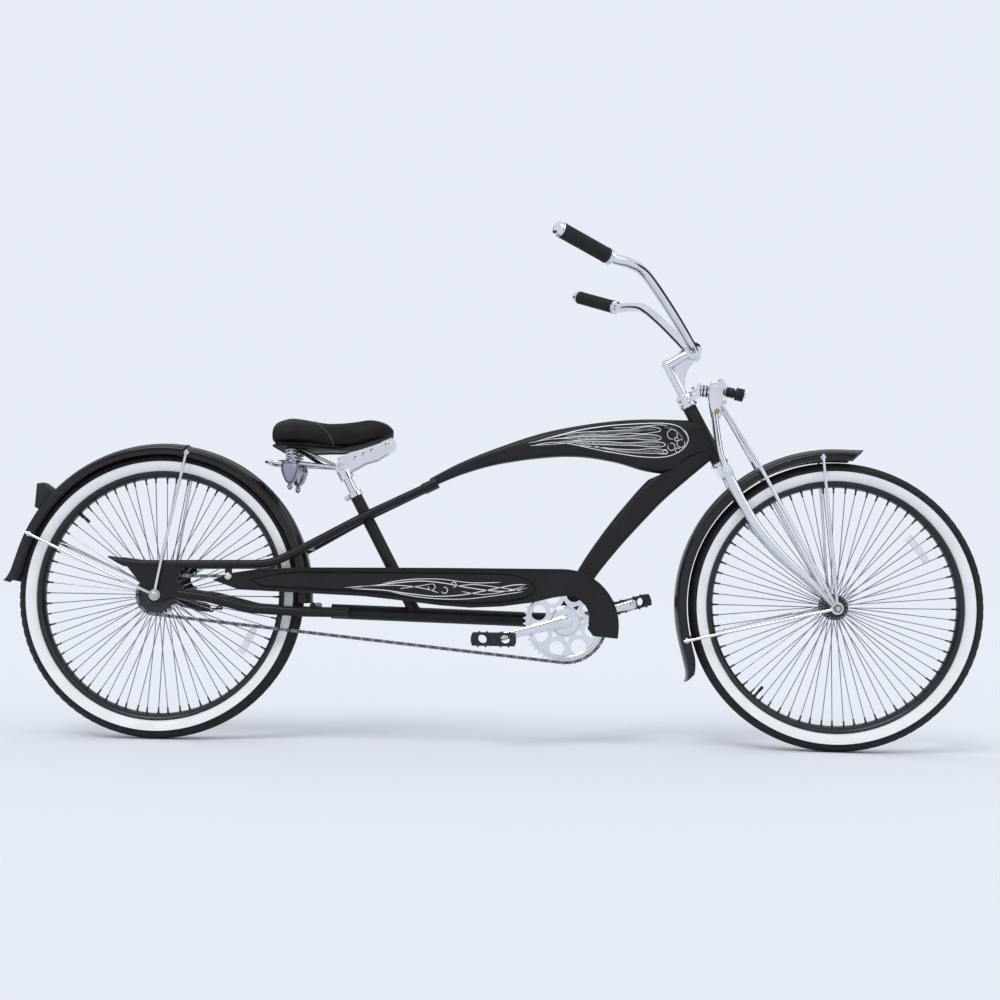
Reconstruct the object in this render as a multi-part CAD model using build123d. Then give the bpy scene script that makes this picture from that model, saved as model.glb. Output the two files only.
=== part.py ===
from build123d import *
import os
from math import acos, atan2, cos, degrees, hypot, pi, radians, sin, sqrt

# A stretched cruiser bicycle with a sprung fork, a tank frame and wire wheels.
# Sizes are in millimetres. While it is drawn, X runs forward from the rear axle,
# Y runs to the rider's left and Z runs up from the axles. It is moved at the end
# so that the origin is the rider's place on the saddle.

# Wheels
WHEEL_R = 330.0
TYRE_HEIGHT = 40.0
TYRE_HALF_W = 27.0
TYRE_BELLY = 25.0
TREAD_HALF_W = 12.0
RIM_DEPTH = 17.0
RIM_HALF_W = 18.0
RIM_WALL = 10.0
RIM_TAPER = 2.0
RIM_WELL_HALF_W = 8.0
SEAT_GAP = 0.3
SPOKES_PER_FLANGE = 34
SPOKE_SIDE = 1.8
SPOKE_WRAP = 40.0
SPOKE_INSET = 4.0
NIPPLE_OUTER_Y = 5.6
NIPPLE_INNER_Y = 2.6
FLANGE_R = 29.0
FLANGE_T = 3.0
HUB_BARREL_R = 16.0
HUB_END_WALL = 5.0
FRONT_FLANGE_Y = 30.0
REAR_FLANGE_Y = 29.0
FRONT_HUB_HALF = 44.0
REAR_HUB_HALF = 54.0
AXLE_R = 5.0
RUN_GAP = 0.06
SPROCKET_BOSS_WALL = 4.0
SPROCKET_BOSS_GAP = 2.0
AXLE_NUT_R = 10.0
AXLE_NUT_T = 8.0
AXLE_STUB = 4.6

# Drive
CHAIN_Y = -46.0
CHAIN_PITCH = 12.7
RING_TEETH = 46
SPROCKET_TEETH = 22
TOOTH_RISE = 3.6
TOOTH_SHOULDER = 1.0
ROLLER_R = 3.9
TOOTH_T = 2.4
PLATE_T = 1.4
PLATE_GAP = 3.6
PLATE_H = 8.6
PIN_EVERY = 2
PIN_CLEAR = 1.0
RING_WINDOWS = 8
RING_WINDOW_R = 17.0
RING_WINDOW_AT = 64.0
RING_WINDOW_START = 28.0
RING_SLOT_SIDE = 9.0
RING_SLOT_AT = 39.0
BOTTOM_X = 937.0
BOTTOM_Z = -44.0
SHELL_R = 28.0
SHELL_HALF = 34.0
SHELL_WALL = 3.0
CUP_IN = 8.0
CUP_OUT = 4.0
CRANK_AXLE_R = 11.0
CRANK_BOSS_R = 19.0
CRANK_LENGTH = 165.0
CRANK_DIP = 14.0
ARM_IN_Y = 64.0
ARM_T = 13.0
ARM_ROOT_W = 28.0
ARM_END_W = 24.0
DRIVE_PIN_R = 4.0
DRIVE_PIN_AT = 30.0
PEDAL_GAP = 6.0
PEDAL_LENGTH = 94.0
PEDAL_WIDTH = 88.0
PEDAL_T = 27.0
PEDAL_BAR = 6.0
PEDAL_END_T = 8.0
PEDAL_BARREL_R = 9.0
PEDAL_HOLE_R = 10.5
PEDAL_LUG = 2.5
PEDAL_LUG_W = 4.0
PEDAL_TILT_LEFT = 16.0
SPINDLE_R = 5.0

# Frame
HEAD_TILT = 28.2
HEAD_X = 1289.0
HEAD_Z = 329.5
HEAD_LENGTH = 145.0
HEAD_R = 16.0
HEAD_BORE_R = 14.0
STEERER_R = 12.5
CUP_R = 19.5
CUP_H = 9.0
SEAT_TUBE_TOP = (447.0, 236.0)
SEAT_TUBE_FOOT = (589.0, -28.5)
SEAT_TUBE_R = 14.0
LOWER_TUBE_START = (397.0, -31.0)
LOWER_TUBE_R = 17.0
RAIL_R = 9.5
STAY_R = 11.0
DROPOUT_Y = 55.0
DROPOUT_T = 5.0
NOTCH_AT = (68.0, 38.0)
NOTCH_R = 19.0
GUARD_OUT = 12.0
GUARD_T = 2.0
GUARD_LIP = 5.0
GUARD_LIP_T = 1.5
GUARD_PANEL_INSET = 13.0
GUARD_PANEL_T = 1.2
GUARD_PANEL_START = 205.0
GUARD_PANEL_END = 862.0
GUARD_PANEL_ROUND = 55.0
CLIP_UP = 50.7
CLIP_W = 12.0
CLIP_T = 2.5
TONGUE_T = 3.0
COASTER_T = 3.0
COASTER_GAP = 0.5
COASTER_HUB_GAP = 2.0

# Mudguards and their stays
FENDER_T = 2.0
FENDER_HALF_W = 37.0
FENDER_CROWN = 8.0
FENDER_SKIRT = 27.0
FENDER_SHOULDER = 5.0
REAR_FENDER_GAP = 24.0
FRONT_FENDER_GAP = 32.0
LAP = 2.3
STAY_ROD_R = 3.5
STAY_EYE_R = 13.0
STAY_EYE_T = 3.4
STAY_KNEE = 85.0
STAY_TOP_UP = 14.0
STAY_BEND_R = 200.0
STAY_SINK = 0.4
STAY_BOW = 1.5
STAY_TUCK = 1.0
LAMP_W = 40.0

# Fork, in a frame of its own: up the steering axis, and forward from it
STEER_AS_SHOWN = 6.0
FORK_OFFSET = 75.8
PIVOT_DROP = 32.0
PIVOT_FORWARD = 4.0
PIVOT_BOLT_R = 5.0
PIVOT_HEAD_R = 9.0
PIVOT_HEAD_T = 5.0
CROWN_W = 30.0
CROWN_H = 24.0
CROWN_RISE = 8.0
HANGER_R = 4.0
BLADE_END_W = 12.0
BLADE_END_BACK = 3.0
QUILL_R = 11.0
QUILL_GAP = 0.1
QUILL_IN = 60.0
STEERER_BORE_AT = 60.0
STEERER_BELOW = 3.0
STEERER_SHORT = 1.3
BLADE_Y = 46.0
BLADE_THICK = 14.0
LEG_R = 7.0
LEG_BEND = 120.0
TIP_R = 13.0
TIP_T = 4.5
TIP_GAP = 0.5
STRUT_Y = 59.0
STRUT_R = 4.5
STRUT_EYE_R = 14.0
STRUT_EYE_T = 4.0
SPACER_R = 9.0
YOKE_Y = 20.0
YOKE_T = 4.0
YOKE_BOLT_R = 6.5
YOKE_BOLT_HEAD = 3.0
BOLT_R = 5.0
BOLT_START = (1234.0, 497.8)
BOLT_LEAN = -6.5
SPRING_R = 12.5
SPRING_CORE_R = 9.5
SPRING_TURNS = 5
SPRING_TURN = 4.6
BOLT_NUT_AT = 13.5
BOLT_NUT_L = 14.0
BOLT_NUT_R = 13.0
DOME_AT = 43.0
DOME_L = 12.0
DOME_R = 14.0
COIL_AFTER_DOME = 26.0
CAP_R = 15.5
CAP_L = 20.0
END_BOLT_R = 6.5
END_BOLT_L = 6.0
NUT_R = 18.0
NUT_H = 22.0

# Stem and handlebar
STEM_UP = 258.0
STEM_FORWARD = 69.0
STEM_ARM_R = 12.0
STEM_ARM_DROP = 3.0
QUILL_RISE = 4.0
STEM_CLAMP_R = 19.0
STEM_CLAMP_W = 44.0
STEM_GUSSET_T = 8.0
BAR_R = 11.1
GRIP_R = 17.0
GRIP_START = 14.0
GRIP_CAP_R = 14.5
GRIP_CAP_T = 13.0
COLLAR_R = 15.0
COLLAR_W = 11.0

# Saddle
SEAT_X = 395.0
SEAT_Z = 406.0
POST_R = 11.0
POST_IN = 60.0
POST_OUT = 62.0
COLLAR_TOP_R = 17.0
COLLAR_TOP_H = 12.0
CLAMP_R = 17.0
CLAMP_H = 32.0
PAN_T = 3.0
PAN_INSET = 6.0
NOSE_ROLLER = (520.0, 357.0, 18.5)
NOSE_ARM_W = 18.0
ROLLER_HALF_W = 13.0
LOOP_R = 4.0
BULLET_X = 300.0
BULLET_Y = 50.0
BULLET_TOP = 310.5
SADDLE_SPRING_R = 13.0

# Outlines and stations
# x, z, lean of the run, depth, width, corner radius
TANK = (
    (622, 272, 29, 20, 20, 8),
    (690, 305, 26, 27, 26, 11),
    (770, 334, 20, 37, 33, 14),
    (875, 361, 14, 57, 39, 16),
    (962, 373, 7, 73, 43, 17),
    (1051, 374, 0, 98, 46, 18),
    (1133, 366, -3, 124, 47, 18),
    (1250, 360, -6, 132, 40, 16),
)
DOWN = (
    (944, -18, 72, 38, 34, 13),
    (984, 63, 60, 43, 36, 14),
    (1040, 142, 53, 51, 39, 15),
    (1098, 212, 48, 57, 42, 16),
    (1154, 272, 44, 60, 43, 16),
    (1262, 367, 38, 62, 38, 15),
)
# x, z along the seam between the tank and the down tube, and round all that is below it
TANK_SEAM = ((1126, 286), (1186, 313), (1213, 338), (1270, 360))
BELOW_SEAM = ((1400, 360), (1400, -230), (700, -230), (700, 230), (1060, 270))
# x, distance to the side, z
RAIL = ((626, 13, 267), (474, 25, 192), (350, 42, 122), (262, 51, 75), (-40, 51, 69.5), (-113, 51, 78))
RAIL_BENDS = (400, 300, 140, 300)
STAY = ((52, 52, 4), (120, 52, -4), (215, 52, -27), (340, 49, -33), (440, 30, -33))
STAY_BENDS = (120, 120, 160)
# x, z
RAIL_TIP_CUT = ((-150, 86), (-116, 86), (-66, 58), (-150, 30))
DROPOUT = ((-72, 70), (-40, 32), (-16, 10), (-14, -14), (12, -16), (30, -8), (64, 0), (64, 64), (0, 72))
# x, z, radius, half length
RAIL_BRIDGE = (341, 117, 8.0, 42.0)
STAY_BRIDGE = (359.6, -19, 7.0, 46.0)
GUARD_TOP = ((133, 37), (171, 51), (239, 62), (360, 67), (650, 71))
GUARD_LOW = (
    (908, 11),
    (860, -1),
    (791, -11),
    (721, -15),
    (652, -11),
    (551, 0),
    (475, 7),
    (361, 11),
    (248, 15),
    (191, 17),
)
# forward of the crank's centre and up from it, along the guard's nose
GUARD_NOSE = ((-9, 117), (87, 75), (118, -24), (118, -35), (63, -30), (51, -14), (39, 45), (-5, 59))
GUARD_STRAP = ((158, 32), (174, 32), (174, 67), (158, 67))
LAMP = ((-268, 222), (-300, 194), (-334, 222), (-312, 270), (-302, 260))
COASTER_ARM = (
    (-14, 10),
    (10, 15),
    (40, -12),
    (82, -19),
    (118, -22),
    (120, -40),
    (80, -38),
    (30, -28),
    (-10, -14),
)
COASTER_SLOT = (104, -31, 18, 7)
# arc's start angle and end angle, straight run before it and after it, flare's radius and turn
REAR_FENDER = (82, 163, 0, 50, 70, 24)
REAR_FENDER_AHEAD = (2, 84, 24, 0, 0, 0)
FRONT_FENDER = (88, 194, 50, 62, 70, 26)
# angle of each stay's rod
REAR_STAYS = (80.6, 156.0)
FRONT_STAYS = (95.0, 194.0)
# up, forward, depth, of a blade's oval sections from above its tip to the pivot
BLADE = (
    (-344, 57, 15),
    (-264, 27, 19),
    (-185, 8, 22),
    (-121, 2, 23),
    (-60, 2, 23),
    (-16, 5, 20),
)
# up, forward, to the side, of a blade's upper leg and of a strut
LEG = ((-26, 4, 46), (20, 12, 42), (106, 44, 27))
STRUT_TOP = ((113, 66, 27), (60, 70, 38), (-60, 74, 59))
STRUT_BENDS = (70, 90)
# x, z of the yoke's side plates, of its back web, and of the bracket on the headset
YOKE = (
    (1273, 435),
    (1292, 435),
    (1294, 457),
    (1304, 467),
    (1303, 475),
    (1294, 485),
    (1294, 499),
    (1305, 500),
    (1303, 510),
    (1290, 515),
    (1274, 515),
    (1267, 506),
    (1266, 480),
    (1269, 458),
)
YOKE_WEB = ((1268, 470), (1273, 470), (1275, 514), (1270, 514))
YOKE_FOOT = ((1276, 437), (1291, 437), (1293, 452), (1278, 452))
BRACKET = ((1212, 460), (1222, 467), (1236, 470), (1244, 482), (1246, 512), (1238, 513), (1234, 489), (1220, 478))
# x, z of the two bolts through the yoke
YOKE_BOLTS = ((1281, 500), (1285, 443))
# up, forward
STEM_GUSSET = ((222, 6), (250, 6), (252, 52), (244, 52))
# forward of the clamp, to the side, up from the clamp
BAR = ((0, 0, 0), (0, 42, -3), (-114, 218, 141), (-183, 294, 155), (-286, 373, 198))
BAR_BENDS = (40, 90, 120)
# x, z along the cushion's top from the back, and along its underside
CUSHION_TOP = (
    (252, 372),
    (257, 408),
    (289, 415),
    (320, 414),
    (346, 409),
    (388, 406),
    (436, 411),
    (478, 418),
    (499, 418),
    (520, 408),
    (534, 391),
)
CUSHION_LOW = ((519, 380), (469, 363), (407, 346), (262, 346))
# x, half width of the cushion in the plan
CUSHION_PLAN = ((252, 60), (262, 96), (300, 112), (340, 104), (390, 66), (440, 42), (500, 34), (530, 18))
NOSE_ARM = ((402, 326), (416, 296), (434, 294), (466, 313), (496, 322), (520, 338), (520, 372), (503, 371))
NOSE_ARM_HOLES = ((444, 326), (463, 335), (482, 344))
LOOP = ((400, -21, 303), (306, -50, 310), (238, -50, 311), (238, 50, 311), (306, 50, 310), (400, 21, 303))
LOOP_BENDS = (60, 30, 30, 60)
# down from the top of a sprung bullet, radius there
BULLET = ((0, 20), (10, 22), (18, 21.5), (46, 10.5), (49, 5), (58, 6.5), (63, 5), (65, 2))

# Sizes that follow from the ones above
BEAD_R = WHEEL_R - TYRE_HEIGHT
RIM_INNER_R = BEAD_R - RIM_DEPTH
SPOKE_HOLE_R = FLANGE_R - SPOKE_INSET
TILT = radians(HEAD_TILT)
AXLE_DROP = (HEAD_Z + FORK_OFFSET * sin(TILT)) / cos(TILT)
REAR_NUT_Y = DROPOUT_Y + DROPOUT_T + STAY_EYE_T
FRONT_STAY_Y = STRUT_Y + STRUT_EYE_T / 2 + SEAT_GAP
FRONT_NUT_Y = FRONT_STAY_Y + STAY_EYE_T
# Reach of a cutting solid past the whole bicycle, and past what it only has to clear
WIDE = 400.0
OVER = 1.0


def tube(points, bends, radius):
    """A round tube along straight runs joined by tangent arcs."""
    path = FilletPolyline(*points, radius=bends)
    pieces = []
    for edge in path.edges():
        ring = Plane(edge @ 0, z_dir=edge % 0) * Circle(radius)
        if edge.geom_type == GeomType.LINE:
            pieces.append(extrude(ring, edge.length))
        else:
            normal = (edge % 0).cross(edge % 1)
            angle = degrees(edge.length / edge.radius)
            pieces.append(revolve(ring, Axis(edge.arc_center, normal), angle))
    return pieces[0].fuse(*pieces[1:]).solid()


def rod(start, end, radius):
    """A straight round bar from one point to another."""
    run = Vector(end) - Vector(start)
    return extrude(Plane(Vector(start), z_dir=run) * Circle(radius), run.length)


def biggest(shape):
    """The largest solid of a shape, without the crumbs of a cut."""
    return max(shape.solids(), key=lambda solid: solid.volume)


def side_face(points):
    """A flat face from its corners (x, z)."""
    return make_face(Polyline(*points, close=True))


def side_plate(outline, y_low, thickness):
    """A flat plate cut to an outline of (x, z) in the side view."""
    face = Plane.XZ * outline
    return Pos(0, y_low + thickness, 0) * extrude(face, thickness)


def cross_disc(x, z, radius, y_low, y_high):
    """A disc or bar that lies across the bicycle."""
    bar = extrude(Plane.XZ * Pos(x, z) * Circle(radius), y_high - y_low)
    return Pos(0, y_high, 0) * bar


def side_disc(x, z, radius, side, y_near, y_far):
    """A disc on one side of the bicycle, between two distances from the middle."""
    low, high = sorted((side * y_near, side * y_far))
    return cross_disc(x, z, radius, low, high)


def both_sides(solid):
    """The solid and its mirror image on the other side of the bicycle."""
    return [solid, mirror(solid, Plane.XZ)]


def wheel_ring(x, half_section):
    """A ring about a wheel's axle, from half its section in (radius, y)."""
    other_half = [(radius, -y) for radius, y in reversed(half_section)]
    face = Plane.XY * make_face(Polyline(*half_section, *other_half, close=True))
    return Pos(x, 0, 0) * revolve(face, Axis((0, 0, 0), (0, 1, 0)), 360)


def tyre(x):
    """A balloon tyre."""
    return wheel_ring(x, [(WHEEL_R, TREAD_HALF_W), (WHEEL_R - TYRE_BELLY, TYRE_HALF_W), (BEAD_R, RIM_HALF_W)])


def rim(x):
    """A deep rim that carries the tyre's bead."""
    top = BEAD_R - SEAT_GAP
    wall_foot = (top - RIM_WALL, RIM_HALF_W - RIM_TAPER)
    return wheel_ring(x, [(top, RIM_HALF_W), wall_foot, (RIM_INNER_R, RIM_WELL_HALF_W)])


def hub(x, flange_y, half_length):
    """A hub: a barrel with two flanges, bored for the axle."""
    end_r = AXLE_R + HUB_END_WALL
    barrel = [
        (AXLE_R + RUN_GAP, half_length),
        (end_r, half_length),
        (HUB_BARREL_R, flange_y + FLANGE_T),
        (FLANGE_R, flange_y + FLANGE_T),
        (FLANGE_R, flange_y),
        (HUB_BARREL_R, flange_y),
    ]
    return wheel_ring(x, barrel)


def spokes(x, flange_y):
    """Crossed wire spokes: on each flange one set lies outside it and one inside."""
    pitch = 360.0 / SPOKES_PER_FLANGE
    clear = SPOKE_SIDE / sqrt(2) + SEAT_GAP
    rim_r = RIM_INNER_R - SEAT_GAP
    # place across the hub, place across the rim, way round
    sets = ((flange_y + FLANGE_T + clear, NIPPLE_OUTER_Y, 1), (flange_y - clear, NIPPLE_INNER_Y, -1))
    wires = []
    for side in (-1, 1):
        for number in range(SPOKES_PER_FLANGE):
            hub_y, rim_y, way = sets[number % 2]
            a = radians(number * pitch + (0.0 if side < 0 else pitch / 2))
            b = a + radians(way * SPOKE_WRAP)
            start = Vector(x + SPOKE_HOLE_R * cos(a), side * hub_y, SPOKE_HOLE_R * sin(a))
            end = Vector(x + rim_r * cos(b), side * rim_y, rim_r * sin(b))
            run = end - start
            wires.append(extrude(Plane(start, z_dir=run) * Rectangle(SPOKE_SIDE, SPOKE_SIDE), run.length))
    return wires


def pitch_radius(teeth):
    """The radius of the circle on which a chain's rollers lie."""
    return CHAIN_PITCH / (2 * sin(pi / teeth))


def toothed_face(teeth):
    """A sprocket's toothed outline."""
    r = pitch_radius(teeth)
    step = 2 * pi / teeth
    shoulder, top = r - TOOTH_SHOULDER, r + TOOTH_RISE
    # share of a tooth's step, radius there
    form = ((0.0, r - ROLLER_R), (0.28, shoulder), (0.44, top), (0.56, top), (0.72, shoulder))
    points = []
    for tooth in range(teeth):
        for share, radius in form:
            a = (tooth + share) * step
            points.append((radius * cos(a), radius * sin(a)))
    return make_face(Polyline(*points, close=True))


def head_point(up, forward):
    """A place (x, z) given up the steering axis and forward from it."""
    return (HEAD_X - up * sin(TILT) + forward * cos(TILT), HEAD_Z + up * cos(TILT) + forward * sin(TILT))


def head3(up, forward, y):
    """The same place with its distance to the left."""
    x, z = head_point(up, forward)
    return (x, y, z)


HEAD_UP = Vector(-sin(TILT), 0, cos(TILT))
HEAD_AXIS = Axis(head3(0, 0, 0), tuple(HEAD_UP))
FRONT_X = head_point(-AXLE_DROP, FORK_OFFSET)[0]


def head_ring(up, height, outer, bore=0.0):
    """A round collar on the steering axis, from a height up it."""
    ring = extrude(Plane(head3(up, 0, 0), z_dir=HEAD_UP) * Circle(outer), height)
    if bore:
        ring -= extrude(Plane(head3(up - OVER, 0, 0), z_dir=HEAD_UP) * Circle(bore), height + 2 * OVER)
    return ring


def swept_body(stations):
    """A pressed body through rounded oblong sections that stand in a row in the side view."""
    faces = []
    for x, z, lean, depth, width, corner in stations:
        run = (cos(radians(lean)), 0, sin(radians(lean)))
        place = Plane(origin=(x, 0, z), x_dir=(0, 1, 0), z_dir=run)
        faces.append(place * RectangleRounded(width, depth, corner))
    return loft(faces, ruled=True)


def oval_leg(stations, y, thick):
    """A tapered leg through oval sections whose centres lie in one side plane."""
    faces = []
    last = len(stations) - 1
    for number, (up, forward, depth) in enumerate(stations):
        before = stations[max(number - 1, 0)]
        after = stations[min(number + 1, last)]
        run = Vector(head3(after[0], after[1], y)) - Vector(head3(before[0], before[1], y))
        place = Plane(origin=head3(up, forward, y), x_dir=(0, 1, 0), z_dir=run)
        faces.append(place * Ellipse(thick / 2, depth / 2))
    return loft(faces, ruled=True)


parts = {}

# Wheels
for name, x, flange_y, half in (
    ("front", FRONT_X, FRONT_FLANGE_Y, FRONT_HUB_HALF),
    ("rear", 0.0, REAR_FLANGE_Y, REAR_HUB_HALF),
):
    parts[name + "_tyre"] = [tyre(x)]
    parts[name + "_rim"] = [rim(x)]
    parts[name + "_hub"] = [hub(x, flange_y, half)]
    parts[name + "_spokes"] = spokes(x, flange_y)

# Rear axle with its nuts, and the sprocket on the hub
axle_end = REAR_NUT_Y + AXLE_NUT_T + AXLE_STUB
axle = cross_disc(0, 0, AXLE_R, -axle_end, axle_end)
for side in (-1, 1):
    axle += side_disc(0, 0, AXLE_NUT_R, side, REAR_NUT_Y, REAR_NUT_Y + AXLE_NUT_T)
parts["rear_axle"] = [axle]
sprocket = side_plate(toothed_face(SPROCKET_TEETH), CHAIN_Y - TOOTH_T / 2, TOOTH_T)
boss_end = -REAR_FLANGE_Y - FLANGE_T - SPROCKET_BOSS_GAP
sprocket += cross_disc(0, 0, HUB_BARREL_R + SPROCKET_BOSS_WALL, CHAIN_Y - TOOTH_T / 2, boss_end)
parts["rear_sprocket"] = [sprocket - cross_disc(0, 0, HUB_BARREL_R + SEAT_GAP, -WIDE, WIDE)]

# Tank, down tube and head tube
head_solid = head_ring(-OVER, HEAD_LENGTH + 2 * OVER, HEAD_R)
below_seam = side_plate(side_face(TANK_SEAM + BELOW_SEAM), -WIDE, 2 * WIDE)
bottom_plug = cross_disc(BOTTOM_X, BOTTOM_Z, SHELL_R, -WIDE, WIDE)
ahead_corners = ((-WIDE, 0), (WIDE, 0), (WIDE, WIDE), (-WIDE, WIDE))
ahead = side_plate(side_face([head_point(up, forward) for up, forward in ahead_corners]), -WIDE, 2 * WIDE)
parts["tank"] = [biggest(swept_body(TANK) - below_seam - head_solid - ahead)]
parts["down_tube"] = [biggest((swept_body(DOWN) & below_seam) - head_solid - ahead - bottom_plug)]
parts["head_tube"] = [head_ring(0, HEAD_LENGTH, HEAD_R, HEAD_BORE_R)]
parts["headset_cups"] = [
    head_ring(-CUP_H, CUP_H, CUP_R, STEERER_R + RUN_GAP),
    head_ring(HEAD_LENGTH, CUP_H, CUP_R, STEERER_R + RUN_GAP),
]

# Lower tube with the crank shell, its cups, and the seat tube
lower_start = (LOWER_TUBE_START[0], 0, LOWER_TUBE_START[1])
lower_bar = rod(lower_start, (BOTTOM_X, 0, BOTTOM_Z), LOWER_TUBE_R)
lower = lower_bar + cross_disc(BOTTOM_X, BOTTOM_Z, SHELL_R, -SHELL_HALF, SHELL_HALF)
lower -= cross_disc(BOTTOM_X, BOTTOM_Z, SHELL_R - SHELL_WALL, -WIDE, WIDE)
parts["lower_tube"] = [biggest(lower)]
parts["crank_cups"] = []
for side in (-1, 1):
    cup = side_disc(BOTTOM_X, BOTTOM_Z, SHELL_R - SHELL_WALL, side, SHELL_HALF - CUP_IN, SHELL_HALF + CUP_OUT)
    cup -= cross_disc(BOTTOM_X, BOTTOM_Z, CRANK_AXLE_R + RUN_GAP, -WIDE, WIDE)
    parts["crank_cups"].append(cup)
seat_top = Vector(SEAT_TUBE_TOP[0], 0, SEAT_TUBE_TOP[1])
seat_foot = Vector(SEAT_TUBE_FOOT[0], 0, SEAT_TUBE_FOOT[1])
seat_up = (seat_top - seat_foot).normalized()
post_low = seat_top - seat_up * POST_IN
post_top = seat_top + seat_up * POST_OUT
seat_tube = biggest(rod(seat_top, seat_foot, SEAT_TUBE_R) - lower_bar)

# Twin upper rails, chain stays, bridges and dropouts
rail = tube([(x, -y, z) for x, y, z in RAIL], RAIL_BENDS, RAIL_R) - parts["tank"][0]
rail = biggest(rail - side_plate(side_face(RAIL_TIP_CUT), -WIDE, 2 * WIDE))
parts["upper_rails"] = both_sides(rail)
for solid in parts["upper_rails"]:
    seat_tube = biggest(seat_tube - solid)
parts["seat_tube"] = [seat_tube - rod(post_low, seat_top + seat_up, POST_R)]
stay = biggest(tube([(x, -y, z) for x, y, z in STAY], STAY_BENDS, STAY_R) - lower_bar)
parts["chain_stays"] = both_sides(stay)
parts["frame_bridges"] = []
for (x, z, radius, reach), tubes in ((RAIL_BRIDGE, "upper_rails"), (STAY_BRIDGE, "chain_stays")):
    bridge = cross_disc(x, z, radius, -reach, reach)
    for solid in parts[tubes]:
        bridge = biggest(bridge - solid)
    parts["frame_bridges"].append(bridge)
dropout = side_plate(side_face(DROPOUT), -DROPOUT_Y - DROPOUT_T, DROPOUT_T)
dropout -= cross_disc(0, 0, AXLE_R, -WIDE, WIDE)
dropout -= cross_disc(*NOTCH_AT, NOTCH_R, -WIDE, WIDE)
dropout = biggest(dropout - rail - stay)
parts["dropouts"] = both_sides(dropout)

# Chain: two rows of plates joined by pins, bare of pins where teeth pass between them
small_r, large_r = pitch_radius(SPROCKET_TEETH), pitch_radius(RING_TEETH)
axle_span = hypot(BOTTOM_X, BOTTOM_Z)
run_length = sqrt(axle_span**2 - (large_r - small_r) ** 2)
chain_lean = atan2(BOTTOM_Z, BOTTOM_X)
spread = acos((small_r - large_r) / axle_span)


def chain_face(grow):
    """The area inside the chain's pitch line, grown outward by an amount."""
    ra, rb = small_r + grow, large_r + grow
    up, down = chain_lean + spread, chain_lean - spread
    a1 = (ra * cos(up), ra * sin(up))
    b1 = (BOTTOM_X + rb * cos(up), BOTTOM_Z + rb * sin(up))
    b2 = (BOTTOM_X + rb * cos(down), BOTTOM_Z + rb * sin(down))
    a2 = (ra * cos(down), ra * sin(down))
    back = (-ra * cos(chain_lean), -ra * sin(chain_lean))
    front = (BOTTOM_X + rb * cos(chain_lean), BOTTOM_Z + rb * sin(chain_lean))
    return make_face(Line(a1, b1) + ThreePointArc(b1, front, b2) + Line(b2, a2) + ThreePointArc(a2, back, a1))


band = chain_face(PLATE_H / 2) - chain_face(-PLATE_H / 2)
chain = side_plate(band, CHAIN_Y + PLATE_GAP / 2, PLATE_T)
chain += side_plate(band, CHAIN_Y - PLATE_GAP / 2 - PLATE_T, PLATE_T)
pins = []
for turn in (spread, -spread):
    a = chain_lean + turn
    start = (small_r * cos(a), small_r * sin(a))
    end = (BOTTOM_X + large_r * cos(a), BOTTOM_Z + large_r * sin(a))
    for number in range(0, int(run_length / CHAIN_PITCH) + 1, PIN_EVERY):
        share = number * CHAIN_PITCH / run_length
        px = start[0] + (end[0] - start[0]) * share
        pz = start[1] + (end[1] - start[1]) * share
        teeth_clear = min(hypot(px, pz) - small_r, hypot(px - BOTTOM_X, pz - BOTTOM_Z) - large_r)
        if teeth_clear > TOOTH_RISE + ROLLER_R + PIN_CLEAR:
            pin = Pos(px, pz) * Rot(0, 0, degrees(a)) * RegularPolygon(ROLLER_R, 3)
            pins.append(side_plate(pin, CHAIN_Y - PLATE_GAP / 2, PLATE_GAP))
parts["chain"] = (chain + pins).solids()

# Chain guard: a pressed plate with a raised lip and panel, held by a strap and a clip
nose = [(BOTTOM_X + x, BOTTOM_Z + z) for x, z in GUARD_NOSE]
guard_edges = Polyline(*GUARD_TOP, nose[0]) + ThreePointArc(*nose[0:3])
guard_edges += Polyline(*nose[2:6]) + ThreePointArc(*nose[5:8])
guard_edges += Polyline(nose[7], *GUARD_LOW, GUARD_TOP[0])
guard_face = make_face(guard_edges)
guard_y = CHAIN_Y - GUARD_OUT
guard = side_plate(guard_face, guard_y, GUARD_T)
lip = guard_face - offset(guard_face, amount=-GUARD_LIP, kind=Kind.INTERSECTION)
guard += side_plate(lip, guard_y - GUARD_LIP_T, GUARD_LIP_T)
panel_span = GUARD_PANEL_END - GUARD_PANEL_START
panel_mid = (GUARD_PANEL_START + GUARD_PANEL_END) / 2
panel_window = Pos(panel_mid, 0) * RectangleRounded(panel_span, WIDE, GUARD_PANEL_ROUND)
panel_face = offset(guard_face, amount=-GUARD_PANEL_INSET, kind=Kind.INTERSECTION) & panel_window
guard += side_plate(panel_face, guard_y - GUARD_PANEL_T, GUARD_PANEL_T)
parts["chain_guard"] = [biggest(guard)]
strap = side_plate(side_face(GUARD_STRAP), guard_y + GUARD_T, GUARD_T)
strap = biggest(strap - rail)
clip_low = seat_foot + seat_up * CLIP_UP
clip_mid = clip_low - seat_up * (CLIP_W / 2)
clip = rod(clip_low, clip_low - seat_up * CLIP_W, SEAT_TUBE_R + CLIP_T)
tongue_reach = -guard_y - GUARD_T
tongue_place = Plane(clip_mid, x_dir=(0, 1, 0), z_dir=seat_up)
clip += tongue_place * Pos(-tongue_reach / 2, 0, 0) * Box(tongue_reach, TONGUE_T, CLIP_W)
clip -= rod(clip_low + seat_up * CLIP_W, clip_low - seat_up * 2 * CLIP_W, SEAT_TUBE_R)
parts["guard_brackets"] = [strap, biggest(clip)]

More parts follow.
